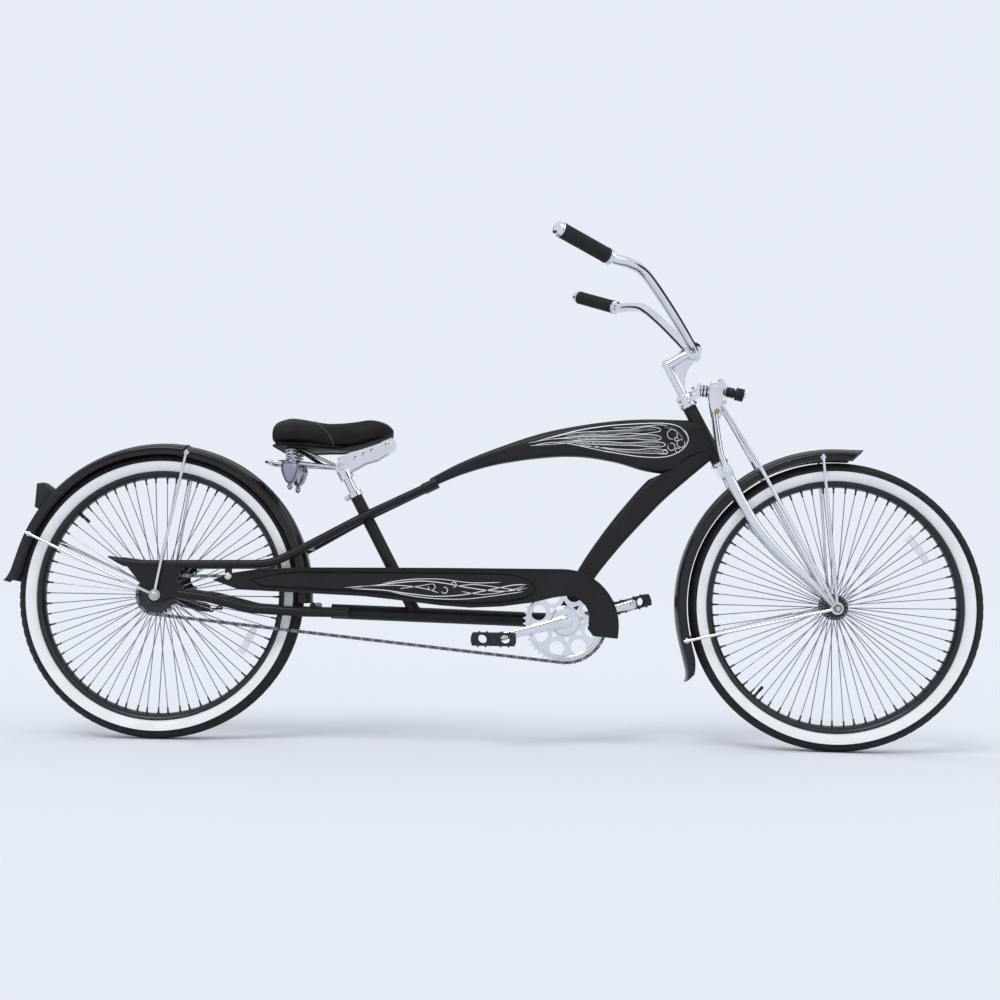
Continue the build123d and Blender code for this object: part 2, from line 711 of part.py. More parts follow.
# Crank, ring and pedals
dip = radians(CRANK_DIP)
crank_end = (CRANK_LENGTH * cos(dip), CRANK_LENGTH * sin(dip))
crank = cross_disc(BOTTOM_X, BOTTOM_Z, CRANK_AXLE_R, -ARM_IN_Y - OVER, ARM_IN_Y + OVER)
boss_in, boss_out = SHELL_HALF + CUP_OUT + SEAT_GAP, -CHAIN_Y - TOOTH_T / 2
crank += side_disc(BOTTOM_X, BOTTOM_Z, CRANK_BOSS_R, -1, boss_in, boss_out)
pin_x = BOTTOM_X - DRIVE_PIN_AT * cos(dip)
pin_z = BOTTOM_Z - DRIVE_PIN_AT * sin(dip)
crank += side_disc(pin_x, pin_z, DRIVE_PIN_R, -1, -CHAIN_Y + TOOTH_T / 2, ARM_IN_Y + OVER)
spindles = []


def pedal(x, z, side, tilt):
    """An open moulded pedal with two round holes in each end plate and lugs for grip."""
    pocket = PEDAL_LENGTH / 2 - PEDAL_BAR - PEDAL_BARREL_R
    hole_x = PEDAL_BARREL_R + pocket / 2
    body = Box(PEDAL_LENGTH, PEDAL_WIDTH, PEDAL_T)
    for way in (-1, 1):
        body -= Pos(way * hole_x, 0, 0) * Box(pocket, PEDAL_WIDTH - 2 * PEDAL_END_T, 2 * PEDAL_T)
        body -= Pos(way * hole_x, 0, 0) * Rot(90, 0, 0) * Cylinder(PEDAL_HOLE_R, 2 * PEDAL_WIDTH)
    lug_at = hole_x - PEDAL_HOLE_R + PEDAL_LUG_W / 2, hole_x + PEDAL_HOLE_R - PEDAL_LUG_W / 2
    for end in (-1, 1):
        for way in (-1, 1):
            for at in lug_at:
                lug = Box(PEDAL_LUG_W, PEDAL_END_T, PEDAL_T + 2 * PEDAL_LUG)
                lug -= Box(PEDAL_LUG_W, PEDAL_END_T, PEDAL_T)
                place = Pos(way * at, end * (PEDAL_WIDTH - PEDAL_END_T) / 2, 0)
                body += place * lug
    body -= Rot(90, 0, 0) * Cylinder(SPINDLE_R + RUN_GAP, 2 * PEDAL_WIDTH)
    y_mid = side * (ARM_IN_Y + ARM_T + PEDAL_GAP + PEDAL_WIDTH / 2)
    return Pos(x, y_mid, z) * Rot(0, -tilt, 0) * body


for name, side, tilt in (("right", -1, 0.0), ("left", 1, PEDAL_TILT_LEFT)):
    end_x, end_z = BOTTOM_X + side * crank_end[0], BOTTOM_Z + side * crank_end[1]
    root, end = Pos(BOTTOM_X, BOTTOM_Z) * Circle(ARM_ROOT_W / 2), Pos(end_x, end_z) * Circle(ARM_END_W / 2)
    arm_low = -ARM_IN_Y - ARM_T if side < 0 else ARM_IN_Y
    crank += side_plate(make_hull((root + end).edges()), arm_low, ARM_T)
    arm_out = ARM_IN_Y + ARM_T
    spindles.append(side_disc(end_x, end_z, SPINDLE_R, side, arm_out, arm_out + PEDAL_GAP + PEDAL_WIDTH))
    parts["pedal_" + name] = [biggest(pedal(end_x, end_z, side, tilt))]
parts["crank"] = [biggest(crank)]
parts["pedal_spindles"] = spindles
windows = []
for number in range(RING_WINDOWS):
    a = radians(RING_WINDOW_START + number * 360 / RING_WINDOWS)
    b = a + pi / RING_WINDOWS
    windows.append(Pos(RING_WINDOW_AT * cos(a), RING_WINDOW_AT * sin(a)) * Circle(RING_WINDOW_R))
    slot_place = Pos(RING_SLOT_AT * cos(b), RING_SLOT_AT * sin(b)) * Rot(0, 0, degrees(b))
    windows.append(slot_place * RegularPolygon(RING_SLOT_SIDE, 3))
ring_face = toothed_face(RING_TEETH) - windows - Circle(CRANK_AXLE_R)
parts["chainring"] = [biggest(side_plate(Pos(BOTTOM_X, BOTTOM_Z) * ring_face, CHAIN_Y - TOOTH_T / 2, TOOTH_T))]


def fender(x, radius, half_w, shape):
    """A thin mudguard: an arc over a wheel, a straight run at each end and a flared tail."""
    front_angle, back_angle, front_run, back_run, flare_r, flare_turn = shape
    a, b = radians(front_angle), radians(back_angle)
    start = Vector(x + radius * cos(a), 0, radius * sin(a))
    middle = Vector(x + radius * cos((a + b) / 2), 0, radius * sin((a + b) / 2))
    stop = Vector(x + radius * cos(b), 0, radius * sin(b))
    ahead_run = Vector(-sin(a), 0, cos(a))
    tail_run = Vector(-sin(b), 0, cos(b))
    tail_out = Vector(cos(b), 0, sin(b))
    lead = start - ahead_run * front_run
    tail = stop + tail_run * back_run
    path = ThreePointArc(start, middle, stop)
    if front_run:
        path = Line(lead, start) + path
    if back_run:
        path += Line(stop, tail)
    if flare_r:
        t = radians(flare_turn)
        half_way = tail + tail_run * flare_r * sin(t / 2) + tail_out * flare_r * (1 - cos(t / 2))
        tip = tail + tail_run * flare_r * sin(t) + tail_out * flare_r * (1 - cos(t))
        path += ThreePointArc(tail, half_way, tip)
    inward = Vector(-cos(a), 0, -sin(a))
    place = Plane(origin=lead, x_dir=(0, 1, 0), z_dir=ahead_run)
    sign = 1 if place.y_dir.dot(inward) > 0 else -1
    t, crown, skirt, edge = FENDER_T, FENDER_CROWN, FENDER_SKIRT, half_w - FENDER_SHOULDER
    outer = ThreePointArc((-edge, sign * crown), (0, 0), (edge, sign * crown))
    inner = ThreePointArc((-edge + t, sign * (crown + t)), (0, sign * t), (edge - t, sign * (crown + t)))
    section = outer + inner
    for way in (-1, 1):
        corners = ((edge, crown), (half_w, skirt), (half_w - t, skirt), (edge - t, crown + t))
        section += Polyline(*[(way * y, sign * r) for y, r in corners])
    return sweep(place * make_face(section), path=path)


def stays(x, angles, reach, axle_y, fender_y):
    """On each side, rods from an eye on the axle up to a mudguard's sides."""
    eye = cross_disc(x, 0, STAY_EYE_R, -axle_y - STAY_EYE_T, -axle_y)
    low_y = axle_y + STAY_EYE_T + STAY_ROD_R - STAY_SINK
    high_y = fender_y + STAY_ROD_R + SEAT_GAP - STAY_TUCK
    for angle in angles:
        a = radians(angle)
        run = [(STAY_EYE_R, low_y), (STAY_KNEE, low_y - STAY_BOW), (reach, high_y)]
        eye += tube([(x + r * cos(a), -y, r * sin(a)) for r, y in run], STAY_BEND_R, STAY_ROD_R)
    eye -= cross_disc(x, 0, AXLE_R, -WIDE, WIDE)
    return both_sides(biggest(eye))


# Rear mudguard in two lengths, its stays, the tail reflector and the brake arm
rear_r = WHEEL_R + REAR_FENDER_GAP
parts["rear_fender"] = [fender(0.0, rear_r, FENDER_HALF_W, REAR_FENDER)]
parts["rear_fender_front"] = [fender(0.0, rear_r - LAP, FENDER_HALF_W - LAP, REAR_FENDER_AHEAD)]
rear_reach = rear_r - FENDER_SKIRT + STAY_TOP_UP
parts["rear_fender_stays"] = stays(0.0, REAR_STAYS, rear_reach, DROPOUT_Y + DROPOUT_T, FENDER_HALF_W)
lamp = side_plate(side_face(LAMP), -LAMP_W / 2, LAMP_W)
parts["tail_reflector"] = [biggest(lamp - cross_disc(0, 0, rear_r + SEAT_GAP, -WIDE, WIDE))]
slot_x, slot_z, slot_length, slot_height = COASTER_SLOT
arm_face = side_face(COASTER_ARM) - Pos(slot_x, slot_z) * SlotOverall(slot_length, slot_height)
coaster = side_plate(arm_face, REAR_HUB_HALF - COASTER_GAP - COASTER_T, COASTER_T)
hub_clear = AXLE_R + HUB_END_WALL + COASTER_HUB_GAP
parts["coaster_arm"] = [biggest(coaster - cross_disc(0, 0, hub_clear, -WIDE, WIDE))]

# Saddle: cushion on its pan, carried by a nose arm, a wire loop and two sprung bullets
parts["seat_post"] = [rod(post_low, post_top, POST_R)]
collar = rod(seat_top, seat_top + seat_up * COLLAR_TOP_H, COLLAR_TOP_R)
parts["seat_collar"] = [biggest(collar - parts["seat_post"][0])]
plan_points = list(CUSHION_PLAN) + [(x, -y) for x, y in reversed(CUSHION_PLAN)]
plan = make_face(Polyline(*plan_points, close=True))
plan_prism = Pos(0, 0, -WIDE) * extrude(plan, 3 * WIDE)
cushion = side_plate(side_face(CUSHION_TOP + CUSHION_LOW), -WIDE, 2 * WIDE) & plan_prism
parts["saddle_cushion"] = [biggest(cushion)]
pan_top = [(x, z - SEAT_GAP) for x, z in CUSHION_LOW]
pan_low = [(x, z - PAN_T) for x, z in reversed(pan_top)]
pan_prism = Pos(0, 0, -WIDE) * extrude(offset(plan, amount=-PAN_INSET), 3 * WIDE)
pan = biggest(side_plate(side_face(pan_top + pan_low), -WIDE, 2 * WIDE) & pan_prism)
parts["saddle_pan"] = [pan]
clamp_low = post_top - seat_up * (CLAMP_H / 2)
clamp_bar = rod(clamp_low, clamp_low + seat_up * CLAMP_H, CLAMP_R)
parts["saddle_clamp"] = [biggest(clamp_bar - rod(clamp_low - seat_up, post_top, POST_R))]
roller_x, roller_z, roller_r = NOSE_ROLLER
nose_arm = side_plate(side_face(NOSE_ARM), -NOSE_ARM_W / 2, NOSE_ARM_W)
for x, z in NOSE_ARM_HOLES:
    nose_arm -= cross_disc(x, z, BOLT_R, -WIDE, WIDE)
nose_arm += cross_disc(roller_x, roller_z, roller_r, -ROLLER_HALF_W, ROLLER_HALF_W)
nose_arm = biggest(nose_arm - clamp_bar)
parts["saddle_arm"] = [biggest(nose_arm - pan)]
loop = tube(LOOP, LOOP_BENDS, LOOP_R)
parts["saddle_loop"] = [loop - clamp_bar]
parts["saddle_springs"] = []
parts["saddle_bullets"] = []
pan_under = CUSHION_LOW[-1][1] - SEAT_GAP - PAN_T
for side in (-1, 1):
    foot = Vector(BULLET_X, side * BULLET_Y, BULLET_TOP)
    coil = rod(foot, (foot.X, foot.Y, pan_under), SADDLE_SPRING_R)
    parts["saddle_springs"].append(biggest(coil - loop))
    half_section = [(radius, -down) for down, radius in BULLET]
    half_face = Plane.XZ * make_face(Polyline((0, 0), *half_section, (0, -BULLET[-1][0]), close=True))
    bullet = Pos(foot.X, foot.Y, foot.Z) * revolve(half_face, Axis.Z, 360)
    parts["saddle_bullets"].append(biggest(bullet - loop))

# Fork, drawn straight ahead and turned at the end
fork = {}
blade_end = (-AXLE_DROP + TIP_R / 2, FORK_OFFSET - BLADE_END_BACK, BLADE_END_W)
blade = oval_leg((blade_end,) + BLADE, -BLADE_Y, BLADE_THICK)
leg = tube([head3(up, forward, -y) for up, forward, y in LEG], LEG_BEND, LEG_R)
tip_in = FRONT_HUB_HALF + TIP_GAP
tip_out = tip_in + TIP_T
blade -= cross_disc(FRONT_X, 0, TIP_R + OVER, -tip_in, 0)
blade += side_disc(FRONT_X, 0, TIP_R, -1, tip_in, tip_out)
blade += leg
pivot_x, pivot_z = head_point(-PIVOT_DROP, PIVOT_FORWARD)
blade -= cross_disc(FRONT_X, 0, AXLE_R, -WIDE, WIDE)
blade -= side_disc(FRONT_X, 0, SPACER_R, -1, tip_out, WIDE)
blade = biggest(blade - cross_disc(pivot_x, pivot_z, PIVOT_BOLT_R, -WIDE, WIDE))

# Crown, on the steerer's foot, with the pivot bolt through it and the blades
nut_up = HEAD_LENGTH + CUP_H + SEAT_GAP
steerer_low = -CUP_H - STEERER_BELOW
steerer = head_ring(steerer_low, nut_up + NUT_H - STEERER_SHORT - steerer_low, STEERER_R)
steerer -= head_ring(STEERER_BORE_AT, 2 * HEAD_LENGTH, QUILL_R + QUILL_GAP)
crown_place = Plane(head3(-PIVOT_DROP, 0, 0), x_dir=(0, 1, 0), z_dir=HEAD_UP)
crown = crown_place * Pos(0, 0, CROWN_RISE) * Box(2 * BLADE_Y, CROWN_W, CROWN_H)
front_r = WHEEL_R + FRONT_FENDER_GAP
hanger_foot = sqrt((front_r + SEAT_GAP) ** 2 - FORK_OFFSET**2) - AXLE_DROP
hanger = rod(head3(-PIVOT_DROP, 0, 0), head3(hanger_foot, 0, 0), HANGER_R)
steerer = steerer + crown + hanger
steerer -= cross_disc(pivot_x, pivot_z, PIVOT_BOLT_R, -WIDE, WIDE)
fork["fork_blades"] = both_sides(blade)
for solid in fork["fork_blades"]:
    steerer = biggest(steerer - solid)
fork["steerer"] = [steerer]
pivot = cross_disc(pivot_x, pivot_z, PIVOT_BOLT_R, -BLADE_Y - BLADE_THICK / 2, BLADE_Y + BLADE_THICK / 2)
for side in (-1, 1):
    head_in = BLADE_Y + BLADE_THICK / 2
    pivot += side_disc(pivot_x, pivot_z, PIVOT_HEAD_R, side, head_in, head_in + PIVOT_HEAD_T)

# Yoke, struts, and the spring unit on its long bolt
yoke = side_plate(side_face(YOKE_WEB), -YOKE_Y, 2 * YOKE_Y)
yoke += side_plate(side_face(YOKE_FOOT), -YOKE_Y, 2 * YOKE_Y)
for y_low in (-YOKE_Y - YOKE_T, YOKE_Y):
    yoke += side_plate(side_face(YOKE), y_low, YOKE_T)
for x, z in YOKE_BOLTS:
    for side in (-1, 1):
        yoke += side_disc(x, z, YOKE_BOLT_R, side, YOKE_Y, YOKE_Y + YOKE_T + YOKE_BOLT_HEAD)
bolt_start = Vector(BOLT_START[0], 0, BOLT_START[1])
bolt_run = Vector(cos(radians(BOLT_LEAN)), 0, sin(radians(BOLT_LEAN)))


def along(distance):
    """A point on the spring's bolt, that far forward of its start."""
    return bolt_start + bolt_run * distance


coil_at = DOME_AT + COIL_AFTER_DOME
cap_at = coil_at + SPRING_TURNS * SPRING_TURN
cap_end = cap_at + CAP_L
yoke -= rod(along(BOLT_NUT_AT), along(coil_at), BOLT_R + SEAT_GAP)
strut_run = STRUT_TOP + ((-AXLE_DROP + STRUT_EYE_R / 2, FORK_OFFSET, STRUT_Y),)
strut = tube([head3(up, forward, -y) for up, forward, y in strut_run], STRUT_BENDS, STRUT_R)
eye_in, eye_out = STRUT_Y - STRUT_EYE_T / 2, STRUT_Y + STRUT_EYE_T / 2
for y_near, y_far in ((0, eye_in), (eye_out, WIDE)):
    strut -= side_disc(FRONT_X, 0, STRUT_EYE_R, -1, y_near, y_far)
strut += side_disc(FRONT_X, 0, STRUT_EYE_R, -1, eye_in, eye_out)
strut = biggest(strut - cross_disc(FRONT_X, 0, AXLE_R, -WIDE, WIDE))
strut = biggest(strut - yoke)
fork["fork_struts"] = both_sides(strut)
for solid in fork["fork_blades"]:
    yoke = biggest(yoke - solid)
fork["fork_yoke"] = [yoke]
bolt = rod(along(0), along(cap_at), BOLT_R)
bolt += rod(along(BOLT_NUT_AT), along(BOLT_NUT_AT + BOLT_NUT_L), BOLT_NUT_R)
bolt += rod(along(DOME_AT), along(DOME_AT + DOME_L), DOME_R) + Pos(*along(DOME_AT + DOME_L)) * Sphere(DOME_R)
bolt = bolt - rod(along(coil_at), along(2 * coil_at), 2 * DOME_R) + rod(along(coil_at), along(cap_at), BOLT_R)
bolt = biggest(bolt)
fork["fork_bolts"] = [pivot, bolt]
coil = rod(along(coil_at), along(cap_at), SPRING_CORE_R)
for turn in range(SPRING_TURNS):
    mid = coil_at + (turn + 0.5) * SPRING_TURN
    coil += rod(along(mid - SPRING_TURN / 3), along(mid + SPRING_TURN / 3), SPRING_R)
fork["fork_spring"] = [coil - rod(along(0), along(2 * cap_at), BOLT_R)]
spring_cap = rod(along(cap_at), along(cap_end), CAP_R)
fork["spring_cap"] = [spring_cap + rod(along(cap_end), along(cap_end + END_BOLT_L), END_BOLT_R)]

# Headset nut with the bracket that holds the bolt's rear end
bracket = side_plate(side_face(BRACKET), -DOME_R, 2 * DOME_R) - rod(along(-DOME_AT), along(DOME_AT), BOLT_R)
nut = head_ring(nut_up, NUT_H, NUT_R) + (bracket - head_ring(0, nut_up, 3 * NUT_R))
nut -= head_ring(0, 2 * HEAD_LENGTH, STEERER_R + SEAT_GAP)
fork["headset_nut"] = [biggest(nut - bolt)]

# Front axle with spacers and nuts
front_end = FRONT_NUT_Y + AXLE_NUT_T + AXLE_STUB
front_axle = cross_disc(FRONT_X, 0, AXLE_R, -front_end, front_end)
for side in (-1, 1):
    front_axle += side_disc(FRONT_X, 0, SPACER_R, side, tip_out, eye_in)
    front_axle += side_disc(FRONT_X, 0, AXLE_NUT_R, side, FRONT_NUT_Y, FRONT_NUT_Y + AXLE_NUT_T)
fork["front_axle"] = [front_axle]
fork["front_fender"] = [fender(FRONT_X, front_r, FENDER_HALF_W, FRONT_FENDER)]
front_reach = front_r - FENDER_SKIRT + STAY_TOP_UP
fork["front_fender_stays"] = stays(FRONT_X, FRONT_STAYS, front_reach, FRONT_STAY_Y, FENDER_HALF_W)

# Stem and handlebar
clamp_x, clamp_z = head_point(STEM_UP, STEM_FORWARD)
stem = rod(head3(HEAD_LENGTH - QUILL_IN, 0, 0), head3(STEM_UP + QUILL_RISE, 0, 0), QUILL_R)
stem += rod(head3(STEM_UP - STEM_ARM_DROP, 0, 0), head3(STEM_UP, STEM_FORWARD, 0), STEM_ARM_R)
stem += cross_disc(clamp_x, clamp_z, STEM_CLAMP_R, -STEM_CLAMP_W / 2, STEM_CLAMP_W / 2)
gusset_face = side_face([head_point(up, forward) for up, forward in STEM_GUSSET])
stem += side_plate(gusset_face, -STEM_GUSSET_T / 2, STEM_GUSSET_T)
bar_points = [(clamp_x + x, y, clamp_z + z) for x, y, z in BAR]
half_bar = tube(bar_points, BAR_BENDS, BAR_R)
bar = (half_bar + mirror(half_bar, Plane.XZ)).solid()
fork["stem"] = [biggest(stem - bar)]
fork["handlebar"] = [bar]
for name, sign in (("right", -1), ("left", 1)):
    inner_x, inner_y, inner_z = bar_points[3]
    outer_x, outer_y, outer_z = bar_points[4]
    inner, outer = Vector(inner_x, sign * inner_y, inner_z), Vector(outer_x, sign * outer_y, outer_z)
    out = (outer - inner).normalized()
    start = inner + out * GRIP_START
    fork["grip_" + name] = [biggest(rod(start, outer, GRIP_R) - bar)]
    cap = rod(outer + out * SEAT_GAP, outer + out * (SEAT_GAP + GRIP_CAP_T), GRIP_CAP_R)
    collar = rod(start - out * SEAT_GAP, start - out * (SEAT_GAP + COLLAR_W), COLLAR_R)
    fork["grip_cap_" + name] = [cap, biggest(collar - bar)]

for name in ("front_tyre", "front_rim", "front_hub", "front_spokes"):
    fork[name] = parts[name]
for name, solids in fork.items():
    parts[name] = [solid.rotate(HEAD_AXIS, -STEER_AS_SHOWN) for solid in solids]

os.makedirs("parts", exist_ok=True)
for name, solids in parts.items():
    placed = [Pos(-SEAT_X, 0, -SEAT_Z) * solid for solid in solids]
    shape = placed[0] if len(placed) == 1 else Compound(children=placed)
    export_step(shape, "parts/" + name + ".step")
    print(name, len(placed), round(sum(solid.volume for solid in placed)))
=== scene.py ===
"""A stretched cruiser bicycle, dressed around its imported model."""

import logging
import math
from dataclasses import dataclass, field
from enum import Enum

import bmesh
import bpy
from mathutils import Matrix, Vector
from mathutils.bvhtree import BVHTree

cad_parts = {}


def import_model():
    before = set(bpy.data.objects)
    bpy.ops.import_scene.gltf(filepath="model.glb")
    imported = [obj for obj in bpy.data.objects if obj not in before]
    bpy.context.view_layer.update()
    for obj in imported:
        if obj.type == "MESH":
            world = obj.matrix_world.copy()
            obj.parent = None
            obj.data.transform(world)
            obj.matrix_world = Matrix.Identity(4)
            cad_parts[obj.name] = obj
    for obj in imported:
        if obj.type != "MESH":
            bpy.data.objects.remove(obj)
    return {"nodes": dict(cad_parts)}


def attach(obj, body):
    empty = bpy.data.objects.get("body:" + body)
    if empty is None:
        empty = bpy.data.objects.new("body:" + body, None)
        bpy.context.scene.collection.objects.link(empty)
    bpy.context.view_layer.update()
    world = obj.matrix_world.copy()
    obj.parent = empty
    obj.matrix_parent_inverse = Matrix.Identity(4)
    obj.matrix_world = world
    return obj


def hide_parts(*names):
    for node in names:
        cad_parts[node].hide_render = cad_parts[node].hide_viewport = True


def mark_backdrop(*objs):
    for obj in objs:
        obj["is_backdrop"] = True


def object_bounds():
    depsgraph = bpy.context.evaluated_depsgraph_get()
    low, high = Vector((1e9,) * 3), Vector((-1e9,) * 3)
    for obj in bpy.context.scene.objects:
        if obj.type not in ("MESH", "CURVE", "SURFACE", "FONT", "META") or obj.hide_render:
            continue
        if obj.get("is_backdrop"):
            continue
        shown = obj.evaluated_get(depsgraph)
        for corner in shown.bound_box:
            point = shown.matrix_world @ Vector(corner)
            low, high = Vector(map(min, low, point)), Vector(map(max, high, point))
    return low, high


log = logging.getLogger("bicycle")

Row = tuple[float, ...]

# Millimetres forward of the rear axle, to the left and up from the axles become the frame's metres
MM = 0.001
SEAT = Vector((395.0, 0.0, 406.0))
BIKE = Matrix.Scale(MM, 4) @ Matrix.Translation(-SEAT)
ACROSS = Vector((0.0, 1.0, 0.0))
REAR_AXLE = Vector((0.0, 0.0, 0.0))
CRANK_CENTRE = Vector((937.0, 0.0, -44.0))

# The noise between which a colour and a gloss run from their first value to their second
CLOUD_SPAN = (0.38, 0.66)
GLOSS_SPAN = (0.35, 0.68)
CLOUD_DETAIL = 6.0
BRUSH_STRETCH = (1.0, 0.06, 1.0)
COAT_ROUGHNESS = 0.08

# How far to the side a ray starts that looks for a surface
RAY_START = 300.0

# A nut's and a bolt head's outline, as shares of their radius and height
NUT_ROWS = ((0.9, 0.0), (1.0, 0.14), (1.0, 0.86), (0.9, 1.0))
HEAD_FOOT = 0.96
HEAD_TIP = 0.1
HEAD_EDGE = 0.35
HEAD_ANGLES = (0.0, 0.5, 0.9, 1.25)


class Body(Enum):
    """The moving bodies that a piece can ride on."""

    FRAME = "frame"
    FORK = "fork"
    FRONT_WHEEL = "front_wheel"
    REAR_WHEEL = "rear_wheel"
    CRANK = "crank"
    PEDAL_RIGHT = "pedal_right"
    PEDAL_LEFT = "pedal_left"


class Grain(Enum):
    """The kinds of relief that a surface can have."""

    PEEL = "the soft waves of sprayed paint or plating"
    MATT = "the fine tooth of moulded rubber or plastic"
    CELLS = "the closed cells of grained vinyl"
    BRUSHED = "the lines of drawn wire and turned steel"
    PRISMS = "the small prisms behind a reflector's face"


@dataclass(frozen=True)
class Finish:
    """One finish: its colours and gloss, how they wander, and the relief of its surface.

    Args:
        name: the material's name.
        colour: the main colour, linear red, green and blue.
        second: the colour that it wanders to.
        rough: lowest and highest roughness.
        metal: 1 for bare metal, 0 for paint, rubber and plastic.
        coat: strength of the clear coat.
        drift: how many times a metre the colour wanders.
        grain: the kind of relief.
        grain_per_m: how many times a metre the relief repeats.
        relief_mm: the depth of the relief.
        clear: share of the light that passes through.
        sheen: strength of the soft sheen of worn vinyl.
        shine: how much a surface that isn't metal mirrors.
    """

    name: str
    colour: Row
    second: Row
    rough: tuple[float, float]
    metal: float = 0.0
    coat: float = 0.0
    drift: float = 14.0
    grain: Grain = Grain.PEEL
    grain_per_m: float = 260.0
    relief_mm: float = 0.03
    clear: float = 0.0
    sheen: float = 0.0
    shine: float = 0.4

    def relief(
        self, nodes: bpy.types.Nodes, links: bpy.types.NodeLinks, place: bpy.types.NodeSocket,
    ) -> bpy.types.NodeSocket:
        """Build the nodes of the relief.

        Args:
            nodes: the material's nodes.
            links: the links between them.
            place: the socket that gives the place on the surface.

        Returns:
            The socket with the relief's height.
        """
        if self.grain in (Grain.CELLS, Grain.PRISMS):
            cells = nodes.new("ShaderNodeTexVoronoi")
            cells.feature = "DISTANCE_TO_EDGE" if self.grain is Grain.CELLS else "F1"
            cells.inputs["Scale"].default_value = self.grain_per_m
            links.new(place, cells.inputs["Vector"])
            return cells.outputs["Distance"]
        waves = nodes.new("ShaderNodeTexNoise")
        waves.inputs["Scale"].default_value = self.grain_per_m
        waves.inputs["Detail"].default_value = 1.0 if self.grain is Grain.PEEL else 5.0
        if self.grain is Grain.BRUSHED:
            stretch = nodes.new("ShaderNodeMapping")
            stretch.inputs["Scale"].default_value = BRUSH_STRETCH
            links.new(place, stretch.inputs["Vector"])
            place = stretch.outputs["Vector"]
        links.new(place, waves.inputs["Vector"])
        return waves.outputs["Fac"]

    def material(self) -> bpy.types.Material:
        """Give the finish's material, and build it the first time.

        Returns:
            The material.
        """
        found = bpy.data.materials.get(self.name)
        if found:
            return found
        material = bpy.data.materials.new(self.name)
        material.use_nodes = True
        nodes, links = material.node_tree.nodes, material.node_tree.links
        shader = nodes["Principled BSDF"]
        place = nodes.new("ShaderNodeTexCoord").outputs["Object"]
        cloud = nodes.new("ShaderNodeTexNoise")
        cloud.inputs["Scale"].default_value = self.drift
        cloud.inputs["Detail"].default_value = CLOUD_DETAIL
        links.new(place, cloud.inputs["Vector"])
        tones = nodes.new("ShaderNodeValToRGB")
        for element, spot, colour in zip(tones.color_ramp.elements, CLOUD_SPAN, (self.colour, self.second)):
            element.position = spot
            element.color = (*colour, 1.0)
        links.new(cloud.outputs["Fac"], tones.inputs["Fac"])
        links.new(tones.outputs["Color"], shader.inputs["Base Color"])
        gloss = nodes.new("ShaderNodeMapRange")
        gloss.inputs["From Min"].default_value, gloss.inputs["From Max"].default_value = GLOSS_SPAN
        gloss.inputs["To Min"].default_value, gloss.inputs["To Max"].default_value = self.rough
        links.new(cloud.outputs["Fac"], gloss.inputs["Value"])
        links.new(gloss.outputs["Result"], shader.inputs["Roughness"])
        bump = nodes.new("ShaderNodeBump")
        bump.inputs["Strength"].default_value = 1.0
        bump.inputs["Distance"].default_value = self.relief_mm * MM
        links.new(self.relief(nodes, links, place), bump.inputs["Height"])
        links.new(bump.outputs["Normal"], shader.inputs["Normal"])
        shader.inputs["Metallic"].default_value = self.metal
        shader.inputs["Coat Weight"].default_value = self.coat
        shader.inputs["Coat Roughness"].default_value = COAT_ROUGHNESS
        shader.inputs["Transmission Weight"].default_value = self.clear
        shader.inputs["Sheen Weight"].default_value = self.sheen
        shader.inputs["Specular IOR Level"].default_value = self.shine
        return material


PAINT = Finish(
    "satin_black_paint", (0.011, 0.011, 0.012), (0.015, 0.015, 0.016), (0.34, 0.44),
    coat=0.06, shine=0.19,
)
# A near-black matt that paints shade: the dark line of painted shade in the tank's seam and the guard's
# crease, and painted shade on the saddle's pan
SHADE_BLACK = Finish(
    "painted_shade_black", (0.003, 0.003, 0.003), (0.004, 0.004, 0.004), (0.55, 0.65),
    shine=0.06,
)
GLOSS = Finish(
    "gloss_black_paint", (0.009, 0.009, 0.010), (0.012, 0.012, 0.013), (0.22, 0.30),
    coat=0.16, shine=0.28,
)
CHROME = Finish(
    "polished_chrome", (0.70, 0.71, 0.74), (0.77, 0.78, 0.81), (0.06, 0.12),
    metal=1.0, relief_mm=0.001,
)
ZINC = Finish(
    "zinc_plate", (0.52, 0.53, 0.55), (0.62, 0.62, 0.63), (0.22, 0.36),
    metal=1.0, grain=Grain.BRUSHED,
)
WIRE = Finish(
    "spoke_wire", (0.26, 0.27, 0.30), (0.36, 0.37, 0.40), (0.16, 0.26),
    metal=1.0, relief_mm=0.001,
)
BLACK_STEEL = Finish(
    "black_steel", (0.035, 0.035, 0.037), (0.065, 0.063, 0.062), (0.28, 0.45),
    metal=0.8, drift=60.0,
)
CHAIN_STEEL = Finish(
    "chain_steel", (0.20, 0.20, 0.21), (0.30, 0.29, 0.29), (0.22, 0.36),
    metal=1.0, drift=80.0,
)
SMOKED = Finish(
    "smoked_chrome", (0.34, 0.32, 0.40), (0.44, 0.42, 0.50), (0.10, 0.20),
    metal=1.0, relief_mm=0.001,
)
COPPER = Finish(
    "yellow_zinc", (0.42, 0.22, 0.09), (0.50, 0.30, 0.14), (0.25, 0.40),
    metal=1.0, grain=Grain.BRUSHED,
)
RUBBER = Finish(
    "tyre_rubber_matt", (0.012, 0.012, 0.012), (0.022, 0.022, 0.021), (0.62, 0.80),
    drift=30.0, grain=Grain.MATT, grain_per_m=1500.0, relief_mm=0.08, shine=0.22,
)
WHITEWALL = Finish(
    "whitewall_rubber", (0.86, 0.87, 0.89), (0.81, 0.82, 0.84), (0.45, 0.60),
    drift=24.0, grain=Grain.MATT, grain_per_m=900.0, relief_mm=0.05,
)
RIM_PAINT = Finish(
    "rim_black_paint", (0.013, 0.013, 0.014), (0.019, 0.019, 0.020), (0.26, 0.38),
    coat=0.15, shine=0.3,
)
